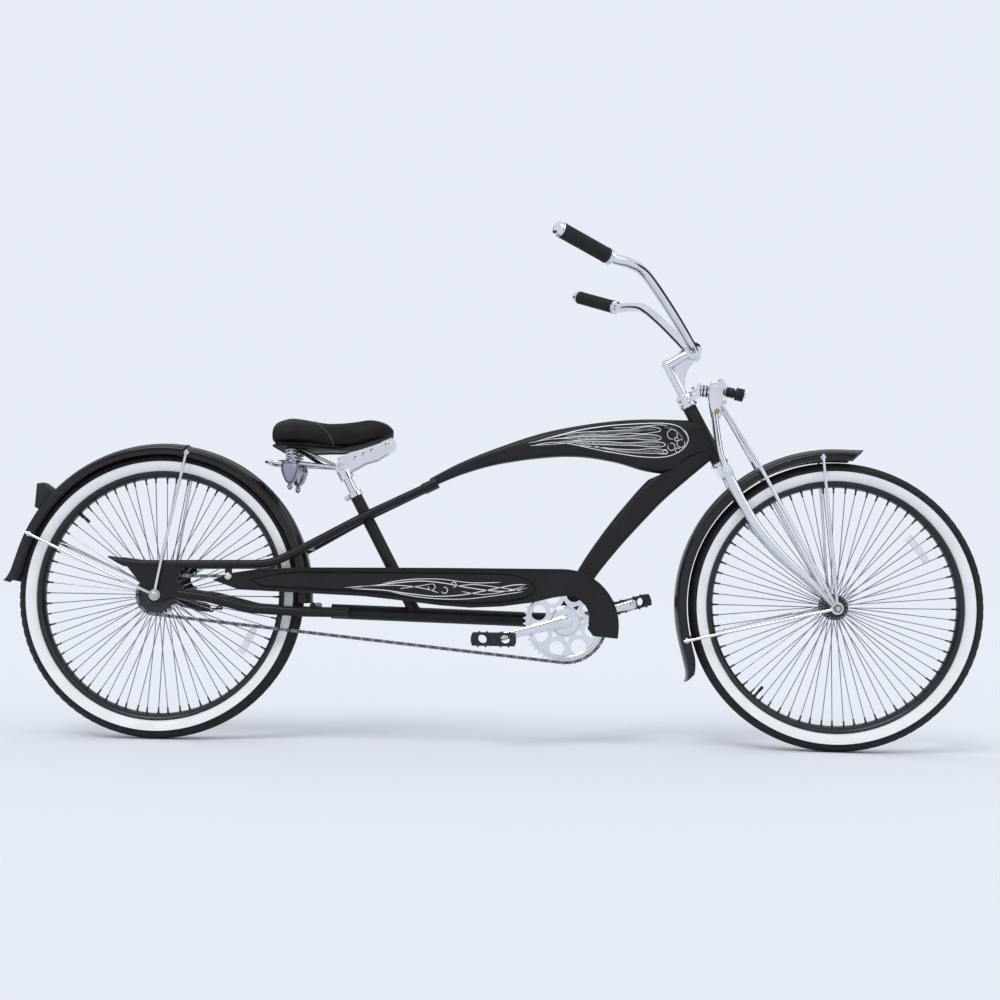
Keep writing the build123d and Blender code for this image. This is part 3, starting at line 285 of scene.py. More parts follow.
GRIP = Finish(
    "grip_rubber_matt", (0.014, 0.014, 0.014), (0.024, 0.024, 0.024), (0.60, 0.78),
    drift=50.0, grain=Grain.MATT, grain_per_m=2200.0, relief_mm=0.10, shine=0.25,
)
PLASTIC = Finish(
    "moulded_black_plastic", (0.015, 0.015, 0.015), (0.024, 0.024, 0.025), (0.42, 0.58),
    drift=40.0, grain=Grain.MATT, grain_per_m=1800.0, relief_mm=0.07, shine=0.3,
)
VINYL = Finish(
    "grained_black_vinyl", (0.007, 0.007, 0.007), (0.012, 0.011, 0.011), (0.42, 0.56),
    drift=18.0, grain=Grain.CELLS, grain_per_m=420.0, relief_mm=0.30, sheen=0.01, shine=0.15,
)
PIPING = Finish(
    "piping_vinyl", (0.010, 0.010, 0.010), (0.016, 0.016, 0.016), (0.30, 0.42),
    grain=Grain.MATT, grain_per_m=1200.0, relief_mm=0.06,
)
SEAM_VINYL = Finish(
    "seam_vinyl", (0.055, 0.054, 0.055), (0.085, 0.083, 0.084), (0.38, 0.50),
    grain=Grain.MATT, grain_per_m=1200.0, relief_mm=0.06,
)
RED_LENS = Finish(
    "red_reflector", (0.30, 0.006, 0.008), (0.24, 0.004, 0.006), (0.10, 0.18), coat=0.8,
    grain=Grain.PRISMS, grain_per_m=420.0, relief_mm=0.6,
)
CLEAR_LENS = Finish(
    "clear_reflector", (0.90, 0.91, 0.92), (0.84, 0.85, 0.87), (0.05, 0.12),
    grain=Grain.PRISMS, grain_per_m=380.0, relief_mm=0.5, clear=0.75,
)
SILVER_STRIPE = Finish(
    "silver_stripe_paint", (0.84, 0.85, 0.87), (0.78, 0.79, 0.81), (0.30, 0.42),
    metal=0.25, coat=0.35,
)
GREY_STRIPE = Finish(
    "grey_stripe_paint", (0.10, 0.10, 0.11), (0.22, 0.22, 0.23), (0.32, 0.45),
    metal=0.2, coat=0.35, drift=45.0,
)


def smooth_row(rows: list[Row], steps: int) -> list[Row]:
    """Pass a smooth curve through rows of values.

    Args:
        rows: the rows that it passes through.
        steps: how many rows to give from one to the next.

    Returns:
        The rows along the curve.
    """
    padded = [rows[0], *rows, rows[-1]]
    smooth = []
    for before, start, end, after in zip(padded, padded[1:], padded[2:], padded[3:]):
        for step in range(steps):
            t = step / steps
            smooth.append(tuple(
                0.5 * (
                    2 * q + (r - p) * t + (2 * p - 5 * q + 4 * r - s) * t**2
                    + (3 * q - p - 3 * r + s) * t**3
                )
                for p, q, r, s in zip(before, start, end, after)
            ))
    smooth.append(tuple(rows[-1]))
    return smooth


def arc_row(start: Row, middle: Row, end: Row, steps: int) -> list[Row]:
    """Follow the round arc through three places (x, z).

    Args:
        start: where it starts.
        middle: a place on the way.
        end: where it ends.
        steps: how many parts to cut it in.

    Returns:
        The places along it, with both ends.
    """
    (ax, az), (bx, bz), (cx, cz) = start, middle, end
    scale = 2 * (ax * (bz - cz) + bx * (cz - az) + cx * (az - bz))
    a2, b2, c2 = ax * ax + az * az, bx * bx + bz * bz, cx * cx + cz * cz
    ox = (a2 * (bz - cz) + b2 * (cz - az) + c2 * (az - bz)) / scale
    oz = (a2 * (cx - bx) + b2 * (ax - cx) + c2 * (bx - ax)) / scale
    first = math.atan2(az - oz, ax - ox)
    turn = (math.atan2(cz - oz, cx - ox) - first) % math.tau
    if (math.atan2(bz - oz, bx - ox) - first) % math.tau > turn:
        turn -= math.tau
    radius = math.hypot(ax - ox, az - oz)
    angles = [first + turn * step / steps for step in range(steps + 1)]
    return [(ox + radius * math.cos(a), oz + radius * math.sin(a)) for a in angles]


def circle_point(radius: float, angle: float, side: float = 0.0) -> Vector:
    """Give a place round an axle, from its radius, its angle in degrees and its distance to the left."""
    return Vector((radius * math.cos(math.radians(angle)), side, radius * math.sin(math.radians(angle))))


def curl_row(curl: Row, steps: int) -> list[Row]:
    """Lay out a painted curl.

    Args:
        curl: its centre x and z, its radius, and its first and last angle.
        steps: how many straight runs it has.

    Returns:
        The places (x, z) that it passes.
    """
    x, z, radius, start, end = curl
    spots = [circle_point(radius, start + (end - start) * step / steps) for step in range(steps + 1)]
    return [(x + spot.x, z + spot.z) for spot in spots]


@dataclass
class Shape:
    """Points and faces in millimetres, gathered for one piece."""

    points: list[Vector] = field(default_factory=list)
    faces: list[tuple[int, ...]] = field(default_factory=list)
    marks: list[int] = field(default_factory=list)

    def add(self, points: list[Vector], faces: list[tuple[int, ...]], mark: int = 0) -> None:
        """Add points and the faces between them.

        Args:
            points: the new points.
            faces: the new faces, numbered from the first new point.
            mark: which of the piece's finishes they take.
        """
        base = len(self.points)
        self.points.extend(points)
        self.faces.extend(tuple(base + number for number in face) for face in faces)
        self.marks.extend([mark] * len(faces))

    def skin(self, rings: list[list[Vector]], mark: int = 0, closed: bool = False) -> None:
        """Stretch a skin over a row of rings, and cap its ends.

        Args:
            rings: the rings, all with the same number of points.
            mark: which of the piece's finishes it takes.
            closed: whether the last ring joins the first.
        """
        around, count = len(rings[0]), len(rings)
        faces = []
        for i in range(count if closed else count - 1):
            near, far = i * around, (i + 1) % count * around
            for j in range(around):
                after = (j + 1) % around
                faces.append((near + j, near + after, far + after, far + j))
        if not closed:
            faces.append(tuple(reversed(range(around))))
            faces.append(tuple(range((count - 1) * around, count * around)))
        self.add([point for ring in rings for point in ring], faces, mark)

    def tube(
        self, path: list[Vector], radius: float | list[float], sides: int = 12, mark: int = 0,
        closed: bool = False,
    ) -> None:
        """Run a round tube along a path.

        Args:
            path: the places along its middle.
            radius: its radius, or one for each place.
            sides: how many sides it has.
            mark: which of the piece's finishes it takes.
            closed: whether its end joins its start.
        """
        radii = radius if isinstance(radius, list) else [radius] * len(path)
        rings, normal = [], None
        for number, place in enumerate(path):
            before = path[number - 1] if number or closed else place
            after = path[(number + 1) % len(path)] if number + 1 < len(path) or closed else place
            run = (after - before).normalized()
            normal = run.orthogonal() if normal is None else normal
            normal = (normal - run * normal.dot(run)).normalized()
            side = run.cross(normal)
            rings.append([
                place + (normal * math.cos(a) + side * math.sin(a)) * radii[number]
                for a in (math.tau * step / sides for step in range(sides))
            ])
        self.skin(rings, mark, closed)

    def turned(
        self, profile: list[Row], origin: Vector, axis: Vector, sides: int = 24, mark: int = 0,
    ) -> None:
        """Turn a solid about an axis.

        Args:
            profile: radius and distance along the axis, from one end to the other.
            origin: where the axis starts.
            axis: which way it runs.
            sides: how many sides the solid has.
            mark: which of the piece's finishes it takes.
        """
        axis = axis.normalized()
        across = axis.orthogonal().normalized()
        up = axis.cross(across)
        angles = [math.tau * step / sides for step in range(sides)]
        self.skin([
            [origin + axis * along + (across * math.cos(a) + up * math.sin(a)) * radius for a in angles]
            for radius, along in profile
        ], mark)

    def hoop(
        self, section: list[Row], steps: int, marks: list[int] | None = None,
        span: tuple[float, float] | None = None,
    ) -> None:
        """Carry a closed section round the axle.

        Args:
            section: radius and distance to the left, all the way round the section.
            steps: how many parts the hoop is cut in.
            marks: a finish for each side of the section.
            span: start and end angle in degrees, where the hoop isn't whole.
        """
        start, end = span or (0.0, 360.0)
        count = steps + 1 if span else steps
        angles = [start + (end - start) * step / steps for step in range(count)]
        rings = [[circle_point(r, angle, y) for r, y in section] for angle in angles]
        first = len(self.faces)
        self.skin(rings, 0, closed=span is None)
        if marks:
            for number in range(first, len(self.faces)):
                self.marks[number] = marks[(number - first) % len(section)]

    def slab(self, outline: list[Vector], thick: Vector, mark: int = 0) -> None:
        """Give a flat outline a thickness."""
        self.skin([outline, [point + thick for point in outline]], mark)

    def nut(self, centre: Vector, axis: Vector, across: float, height: float, mark: int = 0) -> None:
        """Add a six-sided nut with chamfered ends, from its centre outward."""
        corner = across / math.sqrt(3)
        self.turned([(corner * wide, height * share) for wide, share in NUT_ROWS], centre, axis, 6, mark)

    def dome(self, centre: Vector, axis: Vector, radius: float, height: float, mark: int = 0) -> None:
        """Add a round bolt head with a domed top."""
        arc = [
            (radius * math.cos(a), height * (HEAD_EDGE + (1 - HEAD_EDGE) * math.sin(a))) for a in HEAD_ANGLES
        ]
        self.turned([(radius * HEAD_FOOT, 0.0), *arc, (radius * HEAD_TIP, height)], centre, axis, 20, mark)

    def box(self, centre: Vector, along: Vector, up: Vector, size: Row, mark: int = 0) -> None:
        """Add a block from its centre, two of its directions and its three sizes."""
        x, z = along.normalized() * size[0] / 2, up.normalized() * size[2] / 2
        y = up.cross(along).normalized() * size[1] / 2
        ring = [centre - x - z - y, centre + x - z - y, centre + x + z - y, centre - x + z - y]
        self.slab(ring, y * 2, mark)

    def mirrored(self) -> "Shape":
        """Give the same shape on the other side of the bicycle."""
        return Shape([Vector((p.x, -p.y, p.z)) for p in self.points], list(self.faces), list(self.marks))

    def join(self, other: "Shape") -> None:
        """Take another shape's faces into this one."""
        base = len(self.points)
        self.points.extend(other.points)
        self.faces.extend(tuple(base + number for number in face) for face in other.faces)
        self.marks.extend(other.marks)

    def bare(self, name: str, place: Matrix, smooth: float = 35.0) -> bpy.types.Object:
        """Make the mesh's object, with no finish and no body yet.

        Args:
            name: the object's name.
            place: turns the shape's millimetres into the frame's metres.
            smooth: the angle in degrees over which an edge stays sharp.

        Returns:
            The object.
        """
        mesh = bpy.data.meshes.new(name)
        mesh.from_pydata([place @ point for point in self.points], [], self.faces)
        mesh.polygons.foreach_set("material_index", self.marks)
        work = bmesh.new()
        work.from_mesh(mesh)
        bmesh.ops.recalc_face_normals(work, faces=work.faces)
        work.to_mesh(mesh)
        work.free()
        mesh.polygons.foreach_set("use_smooth", [True] * len(mesh.polygons))
        mesh.set_sharp_from_angle(angle=math.radians(smooth))
        piece = bpy.data.objects.new(name, mesh)
        bpy.context.scene.collection.objects.link(piece)
        return piece

    def piece(
        self, name: str, body: Body, slot: str, finishes: list[Finish], place: Matrix = BIKE,
        replaces: tuple[str, ...] = (), smooth: float = 35.0,
    ) -> bpy.types.Object:
        """Make a finished piece that rides on a body.

        Args:
            name: the piece's name.
            body: the body that it rides on.
            slot: the record's slot that its finish belongs to; not used.
            finishes: the finishes that the shape's marks number.
            place: turns the shape's millimetres into the frame's metres.
            replaces: the nodes that it stands for.
            smooth: the angle in degrees over which an edge stays sharp.

        Returns:
            The piece's object.
        """
        piece = self.bare(name, place, smooth)
        return dress(piece, body, finishes, replaces)


def dress(
    piece: bpy.types.Object, body: Body, finishes: list[Finish], replaces: tuple[str, ...] = (),
) -> bpy.types.Object:
    """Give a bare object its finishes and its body.

    Args:
        piece: the object.
        body: the body that it rides on.
        finishes: its finishes.
        replaces: the nodes that it stands for.

    Returns:
        The same object.
    """
    for finish in finishes:
        piece.data.materials.append(finish.material())
    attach(piece, body.value)
    if replaces:
        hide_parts(*replaces)
    log.info("%s: %d faces, rides on %s", piece.name, len(piece.data.polygons), body.value)
    return piece


def carve(piece: bpy.types.Object, cutter: bpy.types.Object, keep: bool = False) -> None:
    """Cut an object with another one, and remove the other one.

    Args:
        piece: the object that is cut.
        cutter: the object that cuts.
        keep: whether to keep what the two share, and not the rest.
    """
    step = piece.modifiers.new("carve", "BOOLEAN")
    step.object = cutter
    step.operation = "INTERSECT" if keep else "DIFFERENCE"
    step.solver = "EXACT"
    bpy.context.view_layer.update()
    seen = piece.evaluated_get(bpy.context.evaluated_depsgraph_get())
    cut = bpy.data.meshes.new_from_object(seen)
    piece.modifiers.clear()
    piece.data = cut
    bpy.data.objects.remove(cutter)


@dataclass(frozen=True)
class Steering:
    """The steering axis, and how far the fork is turned in the picture. Sizes are in millimetres."""

    tilt: float = 28.2
    foot_x: float = 1289.0
    foot_z: float = 329.5
    offset: float = 75.8
    turned: float = 6.0
    head_length: float = 145.0

    def axis(self) -> Vector:
        """Give the steering axis, upward."""
        tilt = math.radians(self.tilt)
        return Vector((-math.sin(tilt), 0.0, math.cos(tilt)))

    def point(self, up: float, forward: float, side: float = 0.0) -> Vector:
        """Give a place up the axis and forward of it, with the fork straight ahead.

        Args:
            up: distance up the axis from the head tube's foot.
            forward: distance forward of the axis.
            side: distance to the left.

        Returns:
            The place.
        """
        tilt = math.radians(self.tilt)
        x = self.foot_x - up * math.sin(tilt) + forward * math.cos(tilt)
        z = self.foot_z + up * math.cos(tilt) + forward * math.sin(tilt)
        return Vector((x, side, z))

    def axle_drop(self) -> float:
        """Give how far down the axis the front axle lies."""
        tilt = math.radians(self.tilt)
        return (self.foot_z + self.offset * math.sin(tilt)) / math.cos(tilt)

    def axle(self) -> Vector:
        """Give the front axle's place, with the fork straight ahead."""
        return self.point(-self.axle_drop(), self.offset)

    def shown(self) -> Matrix:
        """Give the move that turns the fork as it is shown, and brings it into the frame's metres."""
        foot = self.point(0.0, 0.0)
        turn = Matrix.Rotation(-math.radians(self.turned), 4, self.axis())
        return BIKE @ Matrix.Translation(foot) @ turn @ Matrix.Translation(-foot)


STEERING = Steering()


@dataclass
class Wheel:
    """A wire wheel: balloon tyre, deep rim, radial spokes and hub. Sizes are in millimetres."""

    end: str
    body: Body
    place: Matrix
    flange_y: float
    hub_half: float
    valve_angle: float
    reflector_angle: float
    bead_r: float = 287.0
    rim_inner_r: float = 273.0
    white_r: float = 310.4
    steps: int = 128
    lugs: int = 92
    lug_share: float = 0.62
    spokes_per_flange: int = 34
    spoke_r: float = 1.15
    spoke_clear: float = 0.5
    spoke_bend: float = 1.4
    # distance from the middle at the rim, of the outer and the inner spokes
    rim_ys: tuple[float, float] = (5.6, 2.6)
    hole_r: float = 25.0
    flange_t: float = 3.0
    # radius and distance from the middle, from the bead to the crown
    tyre_half: tuple[Row, ...] = (
        (287.6, 15.6), (288.8, 18.2), (293.6, 21.4), (300.0, 24.6), (306.0, 26.2), (310.4, 26.8),
        (310.7, 27.0), (312.2, 27.0), (312.6, 26.7), (318.0, 25.4), (322.6, 22.4), (326.0, 17.4),
        (327.6, 9.6), (327.9, 0.0),
    )
    # foot and top of a lug's inner edge, top and foot of its outer edge, its place in the pitch, its sides
    lug_rows: tuple[tuple, ...] = (
        ((327.5, -3.6), (329.9, -3.2), (329.9, 3.2), (327.5, 3.6), 0.0, (1,)),
        ((327.2, 5.4), (329.8, 5.8), (329.2, 11.6), (326.6, 12.2), 0.5, (-1, 1)),
        ((325.5, 14.4), (328.8, 15.2), (317.6, 27.7), (315.4, 25.6), 0.0, (-1, 1)),
    )
    # radius and distance from the middle, outside from the hook to the well, then back inside
    rim_half: tuple[Row, ...] = (
        (287.2, 17.6), (286.8, 18.8), (285.2, 19.2), (283.2, 18.6), (280.2, 16.8), (277.0, 13.2),
        (274.6, 9.2), (273.0, 4.6),
    )
    rim_inside: tuple[Row, ...] = ((275.8, 4.0), (278.0, 9.4), (282.0, 14.0), (286.0, 15.4), (287.2, 16.6))
    # radius and distance out along the spoke, or inward from the rim
    nipple: tuple[Row, ...] = ((1.7, -13.0), (2.0, -12.0), (2.1, -4.0), (2.9, -2.0), (2.9, 3.0))
    valve_sunk: float = 3.0
    valve_stem: tuple[Row, ...] = ((4.4, 0.0), (4.2, 4.0), (3.0, 6.0), (2.9, 22.0))
    valve_cap: tuple[Row, ...] = ((3.5, 20.0), (3.7, 22.0), (3.7, 30.0), (3.0, 32.0))
    # radius and distance out from the hub's end, then from the flange's inner face
    hub_end: tuple[Row, ...] = ((9.2, 0.0), (10.0, -1.0))
    hub_flange: tuple[Row, ...] = (
        (11.0, 9.0), (14.0, 5.0), (18.0, 3.2), (27.6, 3.0), (29.0, 2.2), (29.0, 0.8), (27.8, 0.0),
        (18.5, 0.0), (16.2, -2.0), (14.6, -8.0),
    )
    hub_waist_r: float = 14.2
    hub_bore_r: float = 5.1
    # radius and distance to the left
    reflector_section: tuple[Row, ...] = (
        (222.0, -9.0), (238.0, -9.0), (238.0, -13.0), (236.0, -14.5), (224.0, -14.5), (222.0, -13.0),
    )
    reflector_spread: float = 8.5

    def tyre(self) -> None:
        """Build the tyre with its white band and its tread."""
        shape = Shape()
        half = list(self.tyre_half)
        section = half + [(r, -y) for r, y in reversed(half[:-1])]
        marks = []
        for (r, _), (next_r, _) in zip(section, section[1:] + section[:1]):
            marks.append(1 if self.bead_r + 1 < (r + next_r) / 2 < self.white_r else 0)
        shape.hoop(section, self.steps, marks)
        pitch = 360.0 / self.lugs
        for *corners, phase, sides in self.lug_rows:
            for side in sides:
                for number in range(self.lugs):
                    start = (number + phase) * pitch
                    shape.skin([
                        [circle_point(r, angle, y * side) for r, y in corners]
                        for angle in (start, start + pitch * self.lug_share)
                    ])
        shape.piece(
            self.end + "_tyre_dressed", self.body, "tyre_rubber", [RUBBER, WHITEWALL], self.place,
            (self.end + "_tyre",),
        )

    def rim(self) -> None:
        """Build the rim, its valve and the nipples of its spokes."""
        shape = Shape()
        outside, inside = list(self.rim_half), list(self.rim_inside)
        section = outside + [(r, -y) for r, y in reversed(outside)] + [(r, -y) for r, y in inside]
        section += list(reversed(inside))
        shape.hoop(section, self.steps)
        shape.piece(
            self.end + "_rim_dressed", self.body, "rim_black", [RIM_PAINT], self.place, (self.end + "_rim",),
        )
        small = Shape()
        for _, rim_end, run in self.spoke_runs():
            small.turned(list(self.nipple), rim_end, run, 8)
        small.piece(self.end + "_nipples", self.body, "rim_black", [BLACK_STEEL], self.place)
        stem = Shape()
        inward = -circle_point(1.0, self.valve_angle)
        foot = circle_point(self.rim_inner_r + self.valve_sunk, self.valve_angle)
        stem.turned(list(self.valve_stem), foot, inward, 16)
        stem.turned(list(self.valve_cap), foot, inward, 12)
        stem.piece(self.end + "_valve", self.body, "rim_black", [GRIP], self.place)

    def spoke_runs(self) -> list[tuple[Vector, Vector, Vector]]:
        """Work out where the spokes run.

        Returns:
            Each spoke's hub end, its rim end and its direction.
        """
        pitch = 360.0 / self.spokes_per_flange
        clear = self.spoke_r + self.spoke_clear
        hub_ys = (self.flange_y + self.flange_t + clear, self.flange_y - clear)
        runs = []
        for side in (-1, 1):
            for number in range(self.spokes_per_flange):
                hub_y, rim_y = hub_ys[number % 2], self.rim_ys[number % 2]
                angle = number * pitch + (0.0 if side < 0 else pitch / 2)
                start = circle_point(self.hole_r, angle, side * hub_y)
                end = circle_point(self.rim_inner_r, angle, side * rim_y)
                runs.append((start, end, (end - start).normalized()))
        return runs

    def spokes(self) -> None:
        """Build the spokes, each with its bent end and its head in the flange."""
        shape = Shape()
        bend = self.spoke_bend
        for start, end, run in self.spoke_runs():
            side = 1 if start.y > 0 else -1
            outer = abs(start.y) > self.flange_y + self.flange_t
            through = Vector((0.0, -side if outer else side, 0.0))
            head = start + through * (self.flange_t + 2 * self.spoke_r)
            shape.tube([head, start + through * bend, start + run * bend, end], self.spoke_r, 8)
            shape.dome(head - through * 0.6, through, self.spoke_r * 1.9, 1.6)
        shape.piece(
            self.end + "_spokes_dressed", self.body, "spoke_steel", [WIRE], self.place,
            (self.end + "_spokes",),
        )

    def hub(self) -> None:
        """Build the hub's barrel and its two flanges."""
        shape = Shape()
        half, bore = self.hub_half, self.hub_bore_r
        outside = [(r, half + out) for r, out in self.hub_end]
        outside += [(r, self.flange_y + out) for r, out in self.hub_flange] + [(self.hub_waist_r, 0.0)]
        shape.hoop(outside + [(r, -y) for r, y in reversed(outside[:-1])] + [(bore, -half), (bore, half)], 48)
        shape.piece(
            self.end + "_hub_dressed", self.body, "spoke_steel", [BLACK_STEEL], self.place,
            (self.end + "_hub",),
        )

    def reflector(self) -> None:
        """Clip a clear reflector between the spokes."""
        shape = Shape()
        span = (self.reflector_angle - self.reflector_spread, self.reflector_angle + self.reflector_spread)
        shape.hoop(list(self.reflector_section), 12, span=span)
        shape.piece(self.end + "_spoke_reflector", self.body, "black_plastic", [CLEAR_LENS], self.place)

    def build(self) -> None:
        """Build the whole wheel."""
        self.tyre()
        self.rim()
        self.spokes()
        self.hub()
        self.reflector()


@dataclass
class Drive:
    """The chain, the crank and its nuts, and the pedals' trim. Sizes are in millimetres."""

    chain_y: float = -46.0
    pitch: float = 12.7
    ring_teeth: int = 46
    sprocket_teeth: int = 22
    plate_half: float = 4.2
    waist_half: float = 3.1
    plate_t: float = 1.2
    roller_r: float = 3.9
    crank_length: float = 165.0
    crank_dip: float = 14.0
    arm_mid_y: float = 70.5
    # distance from the crank's centre, width and thickness of an arm
    arm: tuple[Row, ...] = (
        (-14, 8, 7), (-11, 19, 11), (-4, 27, 13), (8, 28, 13), (30, 24, 12.4), (80, 20, 11.4),
        (130, 19, 11.4), (152, 22, 12.4), (165, 24, 13), (173, 19, 11.4), (177, 8, 7),
    )
    arm_squareness: float = 0.75
    axle_r: float = 11.0
    axle_half: float = 64.5
    boss_r: float = 19.0
    boss_in: float = 38.5
    boss_out: float = 45.0
    drive_pin_at: float = 30.0
    drive_pin_r: float = 5.0
    drive_pin_in: float = 47.0
    drive_pin_out: float = 66.0
    ring_face_y: float = 47.0
    # radius and half width of the beads on the ring's face
    ring_beads: tuple[Row, ...] = ((82.0, 4.2), (33.0, 2.8))
    ring_bead_up: float = 1.6
    ring_bead_sunk: float = 0.5
    # distance from the middle to the inner face of the narrow and the wide links' plates
    plate_ys: tuple[float, float] = (1.8, 3.1)
    plate_angles: tuple[int, ...] = (-75, -38, 0, 38, 75)
    roller_half: float = 1.7
    # radius and distance along a pin, and round the bearing's ring and the pedal eyes' caps
    pin: tuple[Row, ...] = ((1.5, -4.9), (1.9, -4.5), (1.9, 4.5), (1.5, 4.9))
    bearing_nut: Row = (38.6, 30.0, 6.0)
    bearing_ring: tuple[Row, ...] = ((14.0, 0.0), (16.5, 1.0), (16.5, 2.6), (12.0, 4.0))
    eye_cap: tuple[Row, ...] = ((7.6, 0.0), (8.0, 0.8), (8.0, 4.6), (6.4, 5.4))
    eye_out: float = 77.2
    eye_in: float = 63.9
    pedal_mid_y: float = 127.0
    pedal_size: Row = (94.0, 88.0, 27.0)
    left_tilt: float = 16.0
    lens_size: Row = (3.0, 58.0, 15.0)
    lens_plate: Row = (1.6, 64.0, 20.0)
    pedal_cap: tuple[Row, ...] = ((9.5, -2.0), (9.5, 1.0), (8.0, 3.2), (2.0, 3.6))
    pedal_tube_r: float = 7.0
    pedal_tube_in: float = 9.0

    def loop(self) -> list[Vector]:
        """Lay out the chain's pins round both sprockets.

        Returns:
            The pins' places, one pitch apart.
        """
        small = self.pitch / 2 / math.sin(math.pi / self.sprocket_teeth)
        large = self.pitch / 2 / math.sin(math.pi / self.ring_teeth)
        span = math.hypot(CRANK_CENTRE.x, CRANK_CENTRE.z)
        lean = math.degrees(math.atan2(CRANK_CENTRE.z, CRANK_CENTRE.x))
        spread = math.degrees(math.acos((small - large) / span))
        run = math.sqrt(span**2 - (large - small) ** 2)
        front_arc = math.radians(2 * spread) * large
        rear_arc = math.radians(360 - 2 * spread) * small
        total = 2 * run + front_arc + rear_arc
        count = 2 * round(total / self.pitch / 2)
        pins = []
        for number in range(count):
            way = total * number / count
            if way < run:
                high = CRANK_CENTRE + circle_point(large, lean + spread)
                pin = circle_point(small, lean + spread).lerp(high, way / run)
            elif way < run + front_arc:
                pin = CRANK_CENTRE + circle_point(large, lean + spread - math.degrees((way - run) / large))
            elif way < 2 * run + front_arc:
                back = (way - run - front_arc) / run
                low = CRANK_CENTRE + circle_point(large, lean - spread)
                pin = low.lerp(circle_point(small, lean - spread), back)
            else:
                turn = math.degrees((way - 2 * run - front_arc) / small)
                pin = circle_point(small, lean - spread - turn)
            pins.append(pin + ACROSS * self.chain_y)
        return pins

    def chain(self) -> None:
        """Build the chain, link by link."""
        shape = Shape()
        pins = self.loop()
        for number, pin in enumerate(pins):
            after = pins[(number + 1) % len(pins)]
            along = (after - pin).normalized()
            up = ACROSS.cross(along)
            outline = []
            for centre, way in ((pin, -1), (after, 1)):
                for angle in self.plate_angles:
                    a = math.radians(angle)
                    out = along * (way * math.cos(a)) + up * (way * math.sin(a))
                    outline.append(centre + out * self.plate_half)
                outline.append((pin + after) / 2 + up * (way * self.waist_half))
            for side in (-1, 1):
                face = ACROSS * (side * self.plate_ys[number % 2])
                shape.slab([point + face for point in outline], ACROSS * (side * self.plate_t), number % 2)
            roller = [(self.roller_r, -self.roller_half), (self.roller_r, self.roller_half)]
            shape.turned(roller, pin, ACROSS, 10)
            shape.turned(list(self.pin), pin, ACROSS, 8)
        shape.piece("chain_links", Body.FRAME, "steel", [BLACK_STEEL, CHAIN_STEEL], replaces=("chain",))

    def crank(self) -> None:
        """Build the crank with its two rounded arms, and the beads on the ring's face."""
        shape = Shape()
        axle = [(self.axle_r, -self.axle_half), (self.axle_r, self.axle_half)]
        shape.turned(axle, CRANK_CENTRE, ACROSS, 32)
        shape.turned([(self.boss_r, -self.boss_in), (self.boss_r, -self.boss_out)], CRANK_CENTRE, ACROSS, 40)
        run, across = circle_point(1.0, self.crank_dip), circle_point(1.0, self.crank_dip + 90.0)
        drive_pin = [(self.drive_pin_r, -self.drive_pin_in), (self.drive_pin_r, -self.drive_pin_out)]
        shape.turned(drive_pin, CRANK_CENTRE - run * self.drive_pin_at, ACROSS, 16)
        for side in (-1, 1):
            rings = []
            for at, width, thick in smooth_row(list(self.arm), 5):
                middle = CRANK_CENTRE + run * (side * at)
                ring = []
                for step in range(28):
                    a = math.tau * step / 28
                    c, s = math.cos(a), math.sin(a)
                    y = self.arm_mid_y + math.copysign(abs(c) ** self.arm_squareness, c) * thick / 2
                    ring.append(middle + across * (s * width / 2) + ACROSS * (side * y))
                rings.append(ring)
            shape.skin(rings)
        shape.piece("crank_dressed", Body.CRANK, "chrome", [CHROME], replaces=("crank",))
        beads = Shape()
        for radius, half in self.ring_beads:
            arc = []
            for a in (0.0, 0.5, 1.05, 1.57, 2.09, 2.64, 3.14):
                arc.append((radius + half * math.cos(a), -self.ring_face_y - self.ring_bead_up * math.sin(a)))
            beads.hoop(arc + [(radius, self.ring_bead_sunk - self.ring_face_y)], 96)
        place = BIKE @ Matrix.Translation(CRANK_CENTRE)
        beads.piece("ring_beads", Body.CRANK, "chrome", [CHROME], place)

    def crank_details(self) -> None:
        """Build the crank's bearing nut and the caps over its pedal eyes."""
        shape = Shape()
        nut_y, nut_across, nut_height = self.bearing_nut
        shape.nut(CRANK_CENTRE + ACROSS * nut_y, ACROSS, nut_across, nut_height)
        shape.turned(list(self.bearing_ring), CRANK_CENTRE + ACROSS * self.boss_out, ACROSS)
        for side in (-1, 1):
            end = CRANK_CENTRE + circle_point(self.crank_length, self.crank_dip) * side
            shape.turned(list(self.eye_cap), end + ACROSS * (self.eye_out * side), ACROSS * side, 6)
            shape.dome(end + ACROSS * (self.eye_in * side), ACROSS * -side, 5.0, 2.4)
            shape.dome(CRANK_CENTRE + ACROSS * (77.0 * side), ACROSS * side, 10.0, 2.2)
        shape.piece("crank_nuts", Body.CRANK, "chrome", [CHROME])

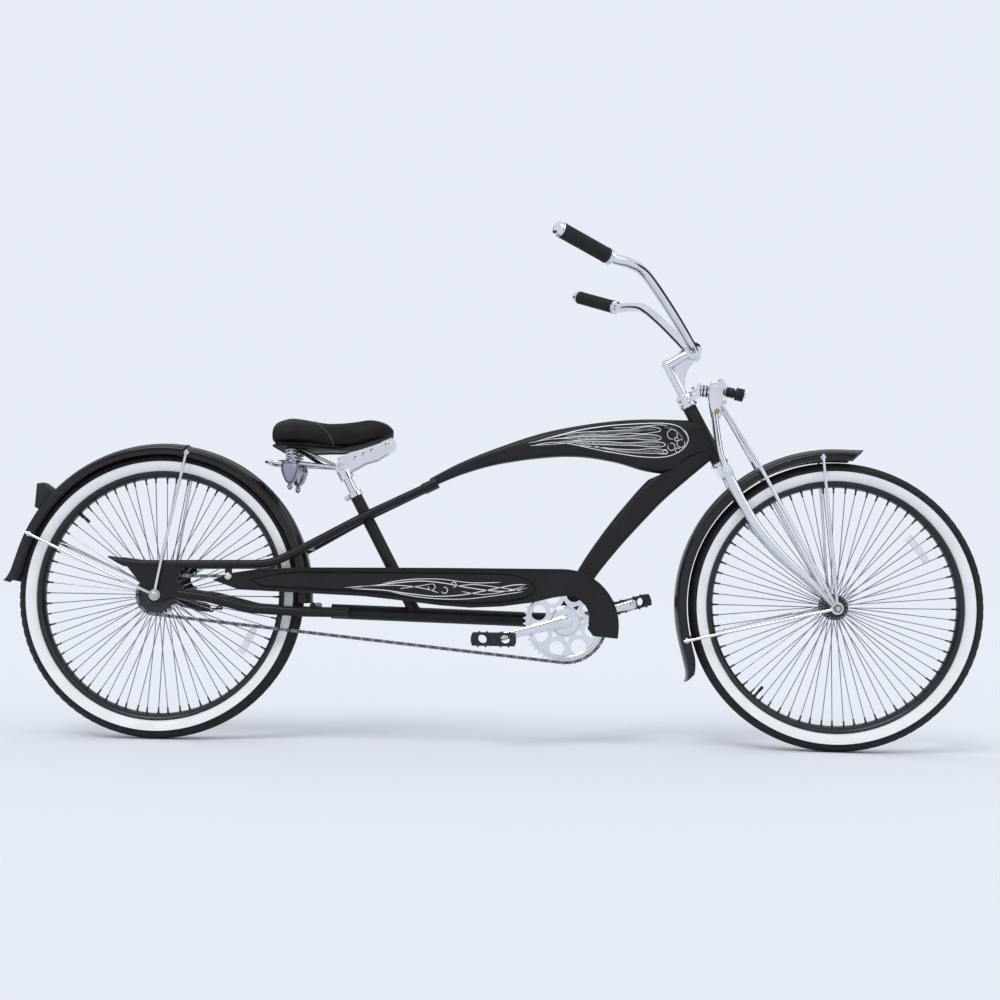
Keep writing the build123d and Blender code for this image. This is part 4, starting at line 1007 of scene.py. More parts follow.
    def pedal_details(self) -> None:
        """Build the reflectors and end caps of both pedals."""
        length, width, _ = self.pedal_size
        inset = self.pedal_tube_in
        for side, body, tilt in ((-1, Body.PEDAL_RIGHT, 0.0), (1, Body.PEDAL_LEFT, self.left_tilt)):
            centre = CRANK_CENTRE + circle_point(self.crank_length, self.crank_dip) * side
            centre = centre + ACROSS * (self.pedal_mid_y * side)
            along, up = circle_point(1.0, tilt), circle_point(1.0, tilt + 90.0)
            lens, steel = Shape(), Shape()
            for way in (-1, 1):
                face = centre + along * (way * (length / 2 + 1.3))
                lens.box(face, along, up, self.lens_size)
                steel.box(face - along * (way * 1.0), along, up, self.lens_plate)
            lens.piece(body.value + "_reflectors", body, "black_plastic", [RED_LENS])
            end = centre + ACROSS * (side * width / 2)
            steel.turned(list(self.pedal_cap), end, ACROSS * side, 24)
            tube = [(self.pedal_tube_r, 0.0), (self.pedal_tube_r, width - 2 * inset)]
            steel.turned(tube, end - ACROSS * (side * (width - inset)), ACROSS * side, 16)
            steel.piece(body.value + "_trim", body, "black_plastic", [PLASTIC])

    def build(self) -> None:
        """Build the drive's pieces."""
        self.chain()
        self.crank()
        self.crank_details()
        self.pedal_details()


@dataclass
class Panel:
    """A long pressed body given by stations in the side view. Sizes are in millimetres."""

    # x, z, lean of the run, depth, width
    stations: tuple[Row, ...]
    squareness: float = 3.0
    around: int = 40

    def rows(self, steps: int = 8) -> list[Row]:
        """Give the smooth stations."""
        return smooth_row(list(self.stations), steps)

    def shape(self) -> Shape:
        """Build the body's skin through its stations.

        Returns:
            The closed shape.
        """
        rings = []
        for x, z, lean, depth, width in self.rows():
            up = circle_point(1.0, lean + 90.0)
            ring = []
            for step in range(self.around):
                a = math.tau * step / self.around
                c, s = math.cos(a), math.sin(a)
                y = math.copysign(abs(c) ** (2 / self.squareness), c) * width / 2
                h = math.copysign(abs(s) ** (2 / self.squareness), s) * depth / 2
                ring.append(Vector((x, y, z)) + up * h)
            rings.append(ring)
        shape = Shape()
        shape.skin(rings)
        return shape


@dataclass
class Stripes:
    """Thin painted lines that lie on a body's two sides. Sizes are in millimetres."""

    lift: float = 0.25
    sunk: float = 0.5
    steps: int = 10
    # how fast a line widens from its ends, and half its width at the ends
    taper: float = 3.2
    taper_power: float = 0.8
    least_half: float = 0.18

    def line(self, shape: Shape, tree: BVHTree, row: list[Row], width: float, mark: int) -> None:
        """Paint one line that tapers to both its ends.

        Args:
            shape: the shape that takes the line.
            tree: the surface that it lies on.
            row: places (x, z) that it passes.
            width: its greatest width.
            mark: which of the finishes it takes.
        """
        places = smooth_row(row, self.steps)
        rings = []
        for number, (x, z) in enumerate(places):
            bx, bz = places[max(number - 1, 0)]
            ax, az = places[min(number + 1, len(places) - 1)]
            run = Vector((ax - bx, az - bz)).normalized()
            share = number / (len(places) - 1)
            full = min(1.0, self.taper * math.sin(math.pi * share) ** self.taper_power)
            half = max(width / 2 * full, self.least_half)
            edges = []
            for way in (-1, 1):
                px, pz = x - run.y * half * way, z + run.x * half * way
                hit = tree.ray_cast(Vector((px, -RAY_START, pz)), ACROSS)[0]
                if hit is None:
                    return
                edges.append(hit)
            top = [edge - ACROSS * self.lift for edge in edges]
            low = [edge + ACROSS * self.sunk for edge in reversed(edges)]
            rings.append(top + low)
        shape.skin(rings, mark)

    def build(
        self, name: str, surface: Shape, lines: list[tuple[list[Row], float, int]], sides: tuple[int, ...],
    ) -> None:
        """Paint a set of lines on the sides of a surface.

        Args:
            name: the piece's name.
            surface: the surface.
            lines: the places, width and finish of each line.
            sides: -1 for the right side, 1 for the left.
        """
        tree = BVHTree.FromPolygons(surface.points, surface.faces)
        right = Shape()
        for row, width, mark in lines:
            self.line(right, tree, row, width, mark)
        both = Shape()
        for side in sides:
            both.join(right if side < 0 else right.mirrored())
        both.piece(name, Body.FRAME, "frame_black", [SILVER_STRIPE, GREY_STRIPE])


# The tank's painted lines: width, finish, then places (x, z)
FLAMES: tuple[tuple, ...] = (
    (1.9, 0, (
        (866, 371), (915, 385), (965, 398), (1030, 409), (1100, 415), (1160, 417), (1196, 409), (1214, 388),
    )),
    (1.9, 0, (
        (1208, 402), (1216, 380), (1206, 360), (1182, 344), (1150, 337), (1105, 338), (1060, 344),
        (1010, 352),
    )),
    (1.6, 0, ((1040, 346), (985, 357), (940, 366), (900, 368), (862, 362))),
    (1.5, 0, (
        (885, 376), (950, 391), (1020, 396), (1075, 400), (1120, 408), (1147, 405), (1150, 398), (1125, 393),
    )),
    (1.5, 0, ((1138, 395), (1110, 391), (1080, 392), (1030, 387), (975, 386), (925, 377))),
    (1.5, 0, (
        (905, 377), (960, 382), (1015, 384), (1070, 385), (1110, 389), (1143, 388), (1153, 381), (1140, 375),
    )),
    (1.5, 0, ((1148, 377), (1118, 377), (1090, 379), (1040, 377), (985, 376), (930, 370))),
    (1.5, 0, (
        (915, 371), (970, 372), (1020, 372), (1075, 369), (1115, 372), (1152, 372), (1163, 366), (1150, 360),
    )),
    (1.5, 0, ((1158, 362), (1130, 361), (1100, 363), (1055, 364), (1000, 365), (955, 366))),
    (1.4, 0, (
        (950, 363), (1005, 359), (1050, 355), (1095, 354), (1135, 357), (1162, 353), (1168, 347), (1150, 344),
    )),
    (1.3, 0, ((1160, 346), (1125, 346), (1085, 347), (1045, 352), (1000, 361))),
    (1.2, 0, ((1168, 411), (1150, 413), (1120, 410), (1085, 406), (1040, 404))),
    (1.1, 0, ((845, 366), (900, 376), (960, 378), (1010, 379))),
    (1.1, 0, ((850, 360), (905, 364), (960, 369), (1015, 368))),
    (5.4, 1, ((930, 383), (1000, 391), (1070, 396), (1120, 401), (1142, 401))),
    (5.0, 1, ((940, 376), (1000, 380), (1070, 382), (1120, 383), (1146, 382))),
    (4.8, 1, ((960, 370), (1020, 368), (1080, 366), (1120, 367), (1154, 366))),
    (4.2, 1, ((990, 360), (1050, 353), (1100, 350), (1135, 351), (1160, 349))),
    (3.6, 1, ((1160, 408), (1180, 404), (1196, 392), (1203, 380))),
)
# The small curls at the flames' tips: centre x and z, radius, first and last angle
FLAME_CURLS: tuple[Row, ...] = (
    (1179, 391, 11.5, -60, 285), (1199, 370, 9.0, 60, 400), (1177, 362, 8.5, 150, 480),
    (1188, 380, 4.0, 0, 330), (1163, 350, 5.0, 40, 350), (1192, 354, 5.5, 30, 330),
)
FLAME_CURL_WIDTH = 1.4

# The guard's painted lines: width, then places (x, z)
GUARD_LINES: tuple[tuple, ...] = (
    (1.9, ((434, 24), (500, 30), (560, 38), (610, 42), (660, 38), (720, 28), (790, 22), (849, 30))),
    (1.9, ((450, 22), (520, 20), (580, 13), (640, 8), (700, 12), (760, 24), (815, 36), (848, 38))),
    (1.5, ((470, 27), (530, 31), (580, 30), (620, 24), (648, 16))),
    (1.5, ((520, 35), (580, 45), (650, 47), (720, 40), (790, 42))),
    (1.5, ((540, 16), (600, 6), (660, 2), (720, 4), (790, 14), (840, 22))),
    (1.4, ((688, 32), (730, 36), (780, 31), (836, 24))),
    (1.3, ((700, 20), (745, 14), (790, 20), (842, 34))),
    (1.2, ((560, 24), (600, 30), (632, 36))),
)
# The curls in the middle of the guard: centre x and z, radius, first and last angle
GUARD_CURLS: tuple[Row, ...] = (
    (632, 29, 7.5, 80, -190), (661, 22, 7.0, 200, 470), (682, 35, 5.5, -100, 170),
)
GUARD_CURL_WIDTH = 1.6


@dataclass
class Frame:
    """The tank, the down tube, and the frame's welds, bolts and flames. Sizes are in millimetres."""

    tank: Panel = field(default_factory=lambda: Panel((
        (622, 272, 29, 20, 20), (690, 305, 26, 27, 26), (770, 334, 20, 37, 33), (875, 361, 14, 57, 39),
        (962, 373, 7, 73, 43), (1051, 374, 0, 98, 46), (1133, 366, -3, 124, 47), (1250, 360, -6, 132, 40),
        (1278, 357, -7, 134, 35),
    )))
    down: Panel = field(default_factory=lambda: Panel((
        (944, -18, 72, 38, 34), (984, 63, 60, 43, 36), (1040, 142, 53, 51, 39), (1098, 212, 48, 57, 42),
        (1154, 272, 44, 60, 43), (1262, 367, 38, 62, 38), (1292, 390, 38, 62, 33),
    )))
    seam: tuple[Row, ...] = ((1126, 286), (1186, 313), (1213, 338), (1270, 360))
    below: tuple[Row, ...] = ((1400, 360), (1400, -230), (700, -230), (700, 230), (1060, 270))
    seam_bead: float = 1.3
    seam_end: float = 1258.0
    head_r: float = 16.0
    brake_y: float = 50.6
    brake_arm: tuple[Row, ...] = (
        (12, 17), (30, 2), (60, -12), (96, -20), (97, -38), (60, -34), (22, -24), (10, -16), (17, 0),
    )
    # middle x and z, length and height of the loop at the arm's end
    brake_slot: Row = (112.0, -31.0, 20.0, 13.0)
    seat_top: Vector = field(default_factory=lambda: Vector((447.0, 0.0, 236.0)))
    seat_foot: Vector = field(default_factory=lambda: Vector((589.0, 0.0, -28.5)))

    def wedge(self) -> bpy.types.Object:
        """Build the solid that fills all that is below the tank's seam.

        Returns:
            The solid's object.
        """
        shape = Shape()
        shape.slab([Vector((x, -200.0, z)) for x, z in self.seam + self.below], ACROSS * 400.0)
        return shape.bare("below_seam", BIKE)

    def clear_head(self, piece: bpy.types.Object) -> None:
        """Cut away what lies in the head tube or ahead of the steering axis."""
        tube = Shape()
        bore = [(self.head_r, -30.0), (self.head_r, STEERING.head_length + 30.0)]
        tube.turned(bore, STEERING.point(0.0, 0.0), STEERING.axis(), 48)
        carve(piece, tube.bare("head_cut", BIKE))
        ahead = Shape()
        corners = ((-200.0, 0.0), (300.0, 0.0), (300.0, 200.0), (-200.0, 200.0))
        ahead.slab([STEERING.point(up, forward, -200.0) for up, forward in corners], ACROSS * 400.0)
        carve(piece, ahead.bare("ahead_cut", BIKE))

    def shells(self) -> None:
        """Build the tank and the down tube, with the seam between them as a bead of painted shade."""
        for name, panel, keep in (("tank", self.tank, False), ("down_tube", self.down, True)):
            piece = panel.shape().bare(name + "_shell", BIKE)
            carve(piece, self.wedge(), keep)
            self.clear_head(piece)
            if keep:
                shell = Shape()
                shell.turned([(28.0, -60.0), (28.0, 60.0)], CRANK_CENTRE, ACROSS, 48)
                carve(piece, shell.bare("crank_cut", BIKE))
            piece.data.polygons.foreach_set("use_smooth", [True] * len(piece.data.polygons))
            piece.data.set_sharp_from_angle(angle=math.radians(38.0))
            dress(piece, Body.FRAME, [PAINT], (name,))
        tank = self.tank.shape()
        tree = BVHTree.FromPolygons(tank.points, tank.faces)
        right = Shape()
        line = []
        for x, z in smooth_row(list(self.seam), 8):
            hit = tree.ray_cast(Vector((x, -RAY_START, z)), ACROSS)[0]
            if hit and x < self.seam_end:
                line.append(hit + ACROSS * 0.5)
        # the seam's bead takes the near-black matt, a line of painted shade along the seam
        right.tube(line, self.seam_bead, 8)
        right.join(right.mirrored())
        right.piece("tank_seam", Body.FRAME, "frame_black", [SHADE_BLACK])

    def welds(self) -> None:
        """Build the weld beads and sleeves where tubes meet."""
        shape = Shape()
        seat_up = (self.seat_top - self.seat_foot).normalized()
        lower = (CRANK_CENTRE - Vector((397.0, 0.0, -31.0))).normalized()
        # centre, axis, radius of the tube, radius of the bead
        for centre, axis, tube_r, bead in (
            (self.seat_foot + seat_up * 3.0, seat_up, 14.0, 2.4),
            (CRANK_CENTRE - lower * 27.0, lower, 17.0, 2.6),
        ):
            arc = [(tube_r - 0.6, -bead), (tube_r + bead * 0.7, -bead * 0.6), (tube_r + bead, 0.0),
                   (tube_r + bead * 0.7, bead * 0.6), (tube_r - 0.6, bead)]
            shape.turned(arc, centre, axis, 36)
        for side in (-1, 1):
            start, end = Vector((628.0, 13.0 * side, 268.0)), Vector((552.0, 19.0 * side, 230.5))
            shape.turned([(9.0, -8.0), (11.6, -8.0), (11.6, 26.0), (9.6, 28.5)], start, end - start, 28)
        shape.piece("weld_beads", Body.FRAME, "frame_black", [PAINT])

    def hardware(self) -> None:
        """Build the rear axle's nuts, the brake's arm, and the seat collar's ears and bolt."""
        steel = Shape()
        for side in (-1, 1):
            out = ACROSS * side
            steel.turned([(13.0, 0.0), (13.0, 1.6)], REAR_AXLE + out * 62.9, out, 28)
            steel.nut(REAR_AXLE + out * 64.4, out, 17.5, 7.6)
            steel.dome(REAR_AXLE + out * 71.0, out, 7.6, 3.6)
        steel.piece("rear_axle_nuts", Body.FRAME, "steel", [ZINC])
        arm = Shape()
        outline = [Vector((x, self.brake_y, z)) for x, z in smooth_row(list(self.brake_arm), 4)]
        arm.slab(outline, ACROSS * 2.8)
        slot_x, slot_z, slot_length, slot_height = self.brake_slot
        loop = []
        for way in (-1, 1):
            for step in range(9):
                spot = circle_point(slot_height / 2, way * 90.0 - 90.0 + 22.5 * step)
                loop.append(Vector((slot_x + way * slot_length / 2, self.brake_y + 1.4, slot_z)) + spot)
        arm.tube(loop, 2.4, 10, closed=True)
        arm.piece("brake_arm_dressed", Body.FRAME, "steel", [BLACK_STEEL], replaces=("coaster_arm",))
        bolts = Shape()
        seat_up = (self.seat_top - self.seat_foot).normalized()
        back = seat_up.cross(ACROSS)
        ear = self.seat_top + seat_up * 6.0 + back * 19.0
        bolts.box(ear - ACROSS * 4.5, back, seat_up, (12.0, 4.0, 11.0))
        bolts.box(ear + ACROSS * 4.5, back, seat_up, (12.0, 4.0, 11.0))
        bolts.turned([(3.0, 0.0), (3.0, 24.0)], ear - ACROSS * 12.0 + back * 1.5, ACROSS, 12)
        bolts.nut(ear + ACROSS * 6.6 + back * 1.5, ACROSS, 9.5, 5.0)
        bolts.dome(ear - ACROSS * 6.6 + back * 1.5, -ACROSS, 5.2, 5.0)
        bolts.piece("seat_collar_bolt", Body.FRAME, "chrome", [CHROME])

    def flames(self) -> None:
        """Paint the flame lines on both sides of the tank."""
        lines = [(list(spots), width, mark) for width, mark, spots in FLAMES]
        lines += [(curl_row(curl, 9), FLAME_CURL_WIDTH, 0) for curl in FLAME_CURLS]
        Stripes().build("tank_flames", self.tank.shape(), lines, (-1, 1))

    def build(self) -> None:
        """Build the frame's pieces."""
        self.shells()
        self.welds()
        self.hardware()
        self.flames()


@dataclass
class Guard:
    """The chain guard's rolled edge, pinstripes and bolts. Sizes are in millimetres."""

    face_y: float = -59.3
    bead_r: float = 1.7
    bolt: Row = (166.0, 46.0)
    # x, z along the top from the back, and along the underside from the front
    top: tuple[Row, ...] = ((133, 37), (171, 51), (239, 62), (360, 67), (650, 71))
    low: tuple[Row, ...] = (
        (908, 11), (860, -1), (791, -11), (721, -15), (652, -11), (551, 0), (475, 7), (361, 11),
        (248, 15), (191, 17),
    )
    # x, z of the crease round the raised middle
    crease: tuple[Row, ...] = (
        (214, 38), (300, 55), (400, 58), (650, 61), (800, 60), (846, 50), (867, 30), (850, 11), (800, -1),
        (721, -6), (652, -2), (551, 9), (475, 16), (361, 20), (248, 24),
    )
    # forward of the crank's centre and up from it
    nose: tuple[Row, ...] = (
        (-9, 117), (87, 75), (118, -24), (118, -35), (63, -30), (51, -14), (39, 45), (-5, 59),
    )

    def outline(self) -> list[Row]:
        """Give the places (x, z) along the guard's edge, all the way round."""
        nose = [(x + CRANK_CENTRE.x, z + CRANK_CENTRE.z) for x, z in self.nose]
        row = list(self.top) + arc_row(nose[0], nose[1], nose[2], 14) + [nose[3], nose[4]]
        return row + arc_row(nose[5], nose[6], nose[7], 12) + list(self.low)

    def edge(self) -> None:
        """Roll the guard's edge, and crease its panel with a line of painted shade."""
        shape = Shape()
        edge = [Vector((x, self.face_y, z)) for x, z in self.outline()]
        shape.tube(edge, self.bead_r, 10, closed=True)
        # the crease is a thin tube in the near-black matt, a dark line of painted shade round the raised
        # middle
        crease = [Vector((x, self.face_y, z)) for x, z in smooth_row(list(self.crease), 5)]
        shape.tube(crease, 1.0, 8, 1, closed=True)
        shape.piece("guard_rolled_edge", Body.FRAME, "frame_black", [PAINT, SHADE_BLACK])

    def stripes(self) -> None:
        """Paint the long flowing lines on the guard."""
        lines = [(list(spots), width, 0) for width, spots in GUARD_LINES]
        lines += [(curl_row(curl, 8), GUARD_CURL_WIDTH, 0) for curl in GUARD_CURLS]
        plate = Shape()
        corners = ((200, -30), (900, -30), (900, 80), (200, 80))
        plate.slab([Vector((x, self.face_y, z)) for x, z in corners], ACROSS)
        Stripes().build("guard_stripes", plate, lines, (-1,))

    def strap_bolt(self) -> None:
        """Fasten the guard's strap with its bolt."""
        shape = Shape()
        x, z = self.bolt
        shape.turned([(8.0, 0.0), (8.0, 1.0)], Vector((x, self.face_y + 0.4, z)), -ACROSS, 24)
        shape.dome(Vector((x, self.face_y - 0.5, z)), -ACROSS, 5.6, 3.4)
        shape.piece("guard_bolt", Body.FRAME, "chrome", [CHROME])

    def build(self) -> None:
        """Build the guard's pieces."""
        self.edge()
        self.stripes()
        self.strap_bolt()


@dataclass
class Fender:
    """One length of mudguard, with its rolled edge and its stays' bolts. Sizes are in millimetres."""

    name: str
    body: Body
    place: Matrix
    radius: float
    half_w: float
    # start and end angle of the arc, straight runs before and after it, radius and turn of the flare
    arc: Row
    stays: tuple[float, ...]
    # how much shorter its ends are, for each millimetre below the crown
    slopes: tuple[float, float] = (0.0, 0.0)
    sheet: float = 2.0
    crown: float = 8.0
    skirt: float = 27.0
    shoulder: float = 5.0
    stay_up: float = 14.0
    bead_r: float = 1.6

    def line(self, side: float, depth: float, drop: float = 0.0) -> list[Vector]:
        """Follow the mudguard at a depth below its crown.

        Args:
            side: distance to the left.
            depth: how far below the crown, which shortens sloping ends.
            drop: how much further below it, at the same length.

        Returns:
            The places from its front end to its tail.
        """
        start, end, lead, tail, flare_r, flare_turn = self.arc
        lead -= self.slopes[0] * depth
        tail -= self.slopes[1] * depth
        depth += drop
        r = self.radius - depth
        path = []
        if lead:
            path.append(circle_point(r, start, side) - circle_point(lead, start + 90.0))
        path += [circle_point(r, start + (end - start) * step / 40, side) for step in range(41)]
        if tail:
            path.append(circle_point(r, end, side) + circle_point(tail, end + 90.0))
        if flare_r:
            middle = circle_point(self.radius + flare_r, end, side) + circle_point(tail, end + 90.0)
            for step in range(1, 7):
                path.append(middle + circle_point(flare_r + depth, end + 180.0 - flare_turn * step / 6))
        return path

    def shell(self) -> None:
        """Build the rounded shell with its rolled edge."""
        shape = Shape()
        edge = self.half_w - self.shoulder
        half = [(self.half_w, self.skirt), (self.half_w, self.crown + 6.0)]
        half.append((self.half_w - 1.2, self.crown + 3.0))
        half += [(edge * s, self.crown * s * s) for s in (1.0, 0.8, 0.6, 0.4, 0.2)]
        across = half + [(0.0, 0.0)] + [(-y, depth) for y, depth in reversed(half)]
        outer = [self.line(y, depth) for y, depth in across]
        last = len(across) - 1
        inner = []
        for number, (y, depth) in enumerate(across):
            drop = 0.0 if number in (0, last) else self.sheet
            inner.append(self.line(y * (1 - self.sheet / self.half_w), depth, drop))
        lines = outer + inner[::-1]
        shape.skin([[line[number] for line in lines] for number in range(len(outer[0]))])
        loop = outer[0] + [line[-1] for line in outer[1:-1]]
        loop += outer[-1][::-1] + [line[0] for line in outer[-2:0:-1]]
        shape.tube(loop, self.bead_r, 8, closed=True)
        shape.piece(self.name + "_shell", self.body, "fender_black", [GLOSS], self.place, (self.name,))

    def build(self) -> None:
        """Build the shell and the stays' bolts."""
        self.shell()
        bolts = Shape()
        reach = self.radius - self.skirt + self.stay_up
        for angle in self.stays:
            for side in (-1, 1):
                spot = circle_point(reach - 7.0, angle, side * (self.half_w - 2.0))
                bolts.turned([(5.8, 0.0), (5.8, 3.6), (5.0, 4.2)], spot + ACROSS * side, ACROSS * side, 24)
                bolts.dome(spot + ACROSS * (side * 5.0), ACROSS * side, 4.2, 3.0)
        if self.stays:
            bolts.piece(self.name + "_stay_bolts", self.body, "chrome", [CHROME], self.place)


@dataclass
class TailLamp:
    """The reflector on the rear mudguard: a black shell and a red lens. Sizes are in millimetres."""

    outline: tuple[Row, ...] = ((-256, 237), (-291, 193), (-303, 199), (-300, 255), (-285, 257))
    half_w: float = 20.0
    # share of the half width, and how large the outline is there
    rounding: tuple[Row, ...] = (
        (-1.0, 0.84), (-0.93, 0.95), (-0.75, 1.0), (0.75, 1.0), (0.93, 0.95), (1.0, 0.84),
    )
    lens_margin: float = 4.0
    # distance out, half width, and how much shorter the lens is at each end
    lens_rows: tuple[Row, ...] = ((-1.0, 15.5, 0.0), (0.5, 15.5, 0.0), (1.3, 13.0, 2.5))

    def build(self) -> None:
        """Build the shell and the lens."""
        shell = Shape()
        count = len(self.outline)
        middle = sum((Vector((x, 0.0, z)) for x, z in self.outline), Vector()) / count
        rings = []
        for share, shrink in self.rounding:
            across = ACROSS * (share * self.half_w)
            rings.append([
                middle + (Vector((x, 0.0, z)) - middle) * shrink + across for x, z in self.outline
            ])
        shell.skin(rings)
        shell.piece("tail_shell", Body.FRAME, "black_plastic", [PLASTIC], replaces=("tail_reflector",))
        lens = Shape()
        low, high = (Vector((x, 0.0, z)) for x, z in self.outline[2:4])
        back = ACROSS.cross(high - low).normalized()
        if back.x > 0:
            back = -back
        run = (high - low).normalized()
        rings = []
        for out, half, cut in self.lens_rows:
            inset = run * (self.lens_margin + cut)
            a, b = low + inset + back * out, high - inset + back * out
            rings.append([a - ACROSS * half, a + ACROSS * half, b + ACROSS * half, b - ACROSS * half])
        lens.skin(rings)
        lens.piece("tail_lens", Body.FRAME, "black_plastic", [RED_LENS])


@dataclass
class Fork:
    """The sprung fork's blades, spring, nuts and bolts. Sizes are in millimetres, straight ahead."""

    blade_y: float = 46.0
    thick: float = 14.0
    # up, forward, depth of a blade's oval sections, from above its tip to the pivot
    blade: tuple[Row, ...] = (
        (-344, 57, 15), (-264, 27, 19), (-185, 8, 22), (-121, 2, 23), (-60, 2, 23), (-16, 5, 20),
    )
    # up, forward, to the side, radius along a blade's upper leg
    leg: tuple[Row, ...] = (
        (-30, 4, 46, 7.5), (-8, 7, 45, 7.4), (20, 12, 42, 7.0), (64, 28, 34.5, 6.8), (106, 44, 28, 6.4),
    )
    # radius and distance out from the middle, round the pivot's knuckle
    knuckle: tuple[Row, ...] = ((11.5, 37.5), (12.8, 38.5), (12.8, 52.4), (11.5, 53.6))
    tip_r: float = 13.0
    tip_in: float = 44.5
    tip_out: float = 49.0
    pivot: Row = (-32.0, 4.0)
    spring_start: Row = (1234.0, 497.8)
    spring_lean: float = -6.5
    coil_at: float = 69.0
    coil_turns: int = 5
    coil_turn: float = 4.6
    cap_length: float = 20.0
    cap_lean: float = -13.0
    bolt_end: float = 112.0
    rear_coil: Row = (8.0, 31.0)
    rear_turns: float = 3.0
    coil_r: float = 10.6
    rear_coil_r: float = 12.6
    # radius and distance along a rib of the cap
    cap_rib: tuple[Row, ...] = ((15.5, 4.5), (14.4, 5.2), (14.4, 6.6), (15.5, 7.3))
    cap_rib_pitch: float = 3.6
    # x, z round a side plate of the yoke
    yoke: tuple[Row, ...] = (
        (1273, 435), (1292, 435), (1294, 457), (1304, 467), (1303, 475), (1294, 485), (1294, 499),
        (1305, 500), (1303, 510), (1290, 515), (1274, 515), (1267, 506), (1266, 480), (1269, 458),
    )
    yoke_y: float = 23.6
    # x, z along the wires over the yoke
    arch: tuple[Row, ...] = ((1269, 508), (1276, 517), (1288, 520), (1299, 515), (1304, 505))
    arch_y: float = 22.0
    bead_r: float = 1.3

    def along(self, distance: float) -> Vector:
        """Give a place on the spring's bolt."""
        x, z = self.spring_start
        return Vector((x, 0.0, z)) + circle_point(distance, self.spring_lean)

    def drooped(self, distance: float) -> Vector:
        """Give a place on the middle of the front coil and its cap, which droop toward the bolt's end."""
        return self.along(self.bolt_end) - circle_point(self.bolt_end - distance, self.cap_lean)

    def blades(self) -> None:
        """Build both blades with their upper legs and their tips."""
        right = Shape()
        end = (-STEERING.axle_drop() + self.tip_r / 2, STEERING.offset - 3.0, 12.0)
        rows = smooth_row([end, *self.blade], 7)
        rings = []
        for number, (up, forward, depth) in enumerate(rows):
            here = STEERING.point(up, forward, -self.blade_y)
            before, after = rows[max(number - 1, 0)], rows[min(number + 1, len(rows) - 1)]
            run = (STEERING.point(after[0], after[1]) - STEERING.point(before[0], before[1])).normalized()
            ahead = ACROSS.cross(run)
            rings.append([
                here + ACROSS * (math.cos(a) * self.thick / 2) + ahead * (math.sin(a) * depth / 2)
                for a in (math.tau * step / 28 for step in range(28))
            ])
        right.skin(rings)
        leg = smooth_row(list(self.leg), 6)
        right.tube([STEERING.point(up, f, -y) for up, f, y, _ in leg], [r for *_, r in leg], 20)
        tip = [
            (self.tip_r - 1, self.tip_in), (self.tip_r, self.tip_in + 0.8),
            (self.tip_r, self.tip_out - 0.8), (self.tip_r - 1, self.tip_out),
        ]
        right.turned(tip, STEERING.axle(), -ACROSS, 36)
        right.turned(list(self.knuckle), STEERING.point(*self.pivot), -ACROSS, 32)
        right.join(right.mirrored())
        right.piece("fork_blades_dressed", Body.FORK, "chrome", [CHROME], STEERING.shown(), ("fork_blades",))

    def coil(self) -> None:
        """Wind the front and the rear coil round their bolt, and build the ribbed cap."""
        shape = Shape()
        axis = circle_point(1.0, self.cap_lean)
        across = axis.orthogonal().normalized()
        up = axis.cross(across)
        turns, steps = self.coil_turns, 18
        path = []
        for step in range(turns * steps + 1):
            a = math.tau * step / steps
            distance = self.coil_at + 1.6 + (self.coil_turns * self.coil_turn - 3.2) * step / (turns * steps)
            path.append(self.drooped(distance) + (across * math.cos(a) + up * math.sin(a)) * self.coil_r)
        shape.tube(path, 1.9, 8)
        shape.turned([(8.6, 0.0), (8.6, turns * self.coil_turn)], self.drooped(self.coil_at), axis, 24)
        rear = []
        start, end = self.rear_coil
        for step in range(int(self.rear_turns * steps) + 1):
            a = math.tau * step / steps
            spot = (across * math.cos(a) + up * math.sin(a)) * self.rear_coil_r
            rear.append(self.along(start + (end - start) * step / (self.rear_turns * steps)) + spot)
        shape.tube(rear, 2.0, 8)
        shape.piece("fork_coil", Body.FORK, "chrome", [BLACK_STEEL], STEERING.shown(), ("fork_spring",))
        cap = Shape()
        start = self.drooped(self.coil_at + turns * self.coil_turn)
        rings = [(12.0, 0.0), (15.0, 1.0), (15.5, 3.0)]
        for rib in range(4):
            rings += [(radius, at + rib * self.cap_rib_pitch) for radius, at in self.cap_rib]
        rings += [(15.2, 19.2), (13.6, 20.0)]
        cap.turned(rings, start, axis, 32)
        cap.nut(start + axis * self.cap_length, axis, 11.0, 5.4, 1)
        cap.piece(
            "fork_cap", Body.FORK, "black_plastic", [PLASTIC, CHROME], STEERING.shown(), ("spring_cap",),
        )

    def nuts(self) -> None:
        """Build the nuts of the headset, the front axle, the pivots and the yoke, and the yoke's wires."""
        chrome, dark = Shape(), Shape()
        up = STEERING.axis()
        foot = STEERING.point(0.0, 0.0)
        chrome.nut(foot + up * 154.6, up, 37.0, 9.0)
        chrome.turned([(20.0, 164.0), (20.4, 164.6), (20.4, 166.0), (20.0, 166.6)], foot, up, 36)
        chrome.nut(foot + up * 166.8, up, 37.0, 9.4)
        chrome.turned([(20.2, 145.2), (21.4, 146.4), (21.4, 150.6), (19.0, 153.4)], foot, up, 40)
        chrome.turned([(19.0, -9.2), (21.4, -6.0), (21.4, -1.6), (20.2, -0.4)], foot, up, 40)
        axle = STEERING.axle()
        for side in (-1, 1):
            out = ACROSS * side
            chrome.turned([(13.5, 0.0), (13.5, 1.6)], axle + out * 64.2, out, 28)
            dark.nut(axle + out * 65.6, out, 17.5, 7.8, 1)
            dark.turned([(7.6, 0.0), (7.6, 1.2), (6.6, 2.2)], axle + out * 73.2, out, 20)
            knuckle = STEERING.point(*self.pivot) + out * 53.6
            chrome.nut(knuckle, out, 16.0, 5.6)
            chrome.dome(knuckle + out * 5.2, out, 5.4, 2.8)
            for x, z in ((1281.0, 500.0), (1299.0, 471.0)):
                chrome.dome(Vector((x, 0.0, z)) + out * self.yoke_y, out, 5.6, 4.4)
        chrome.piece("fork_nuts", Body.FORK, "chrome", [CHROME], STEERING.shown())
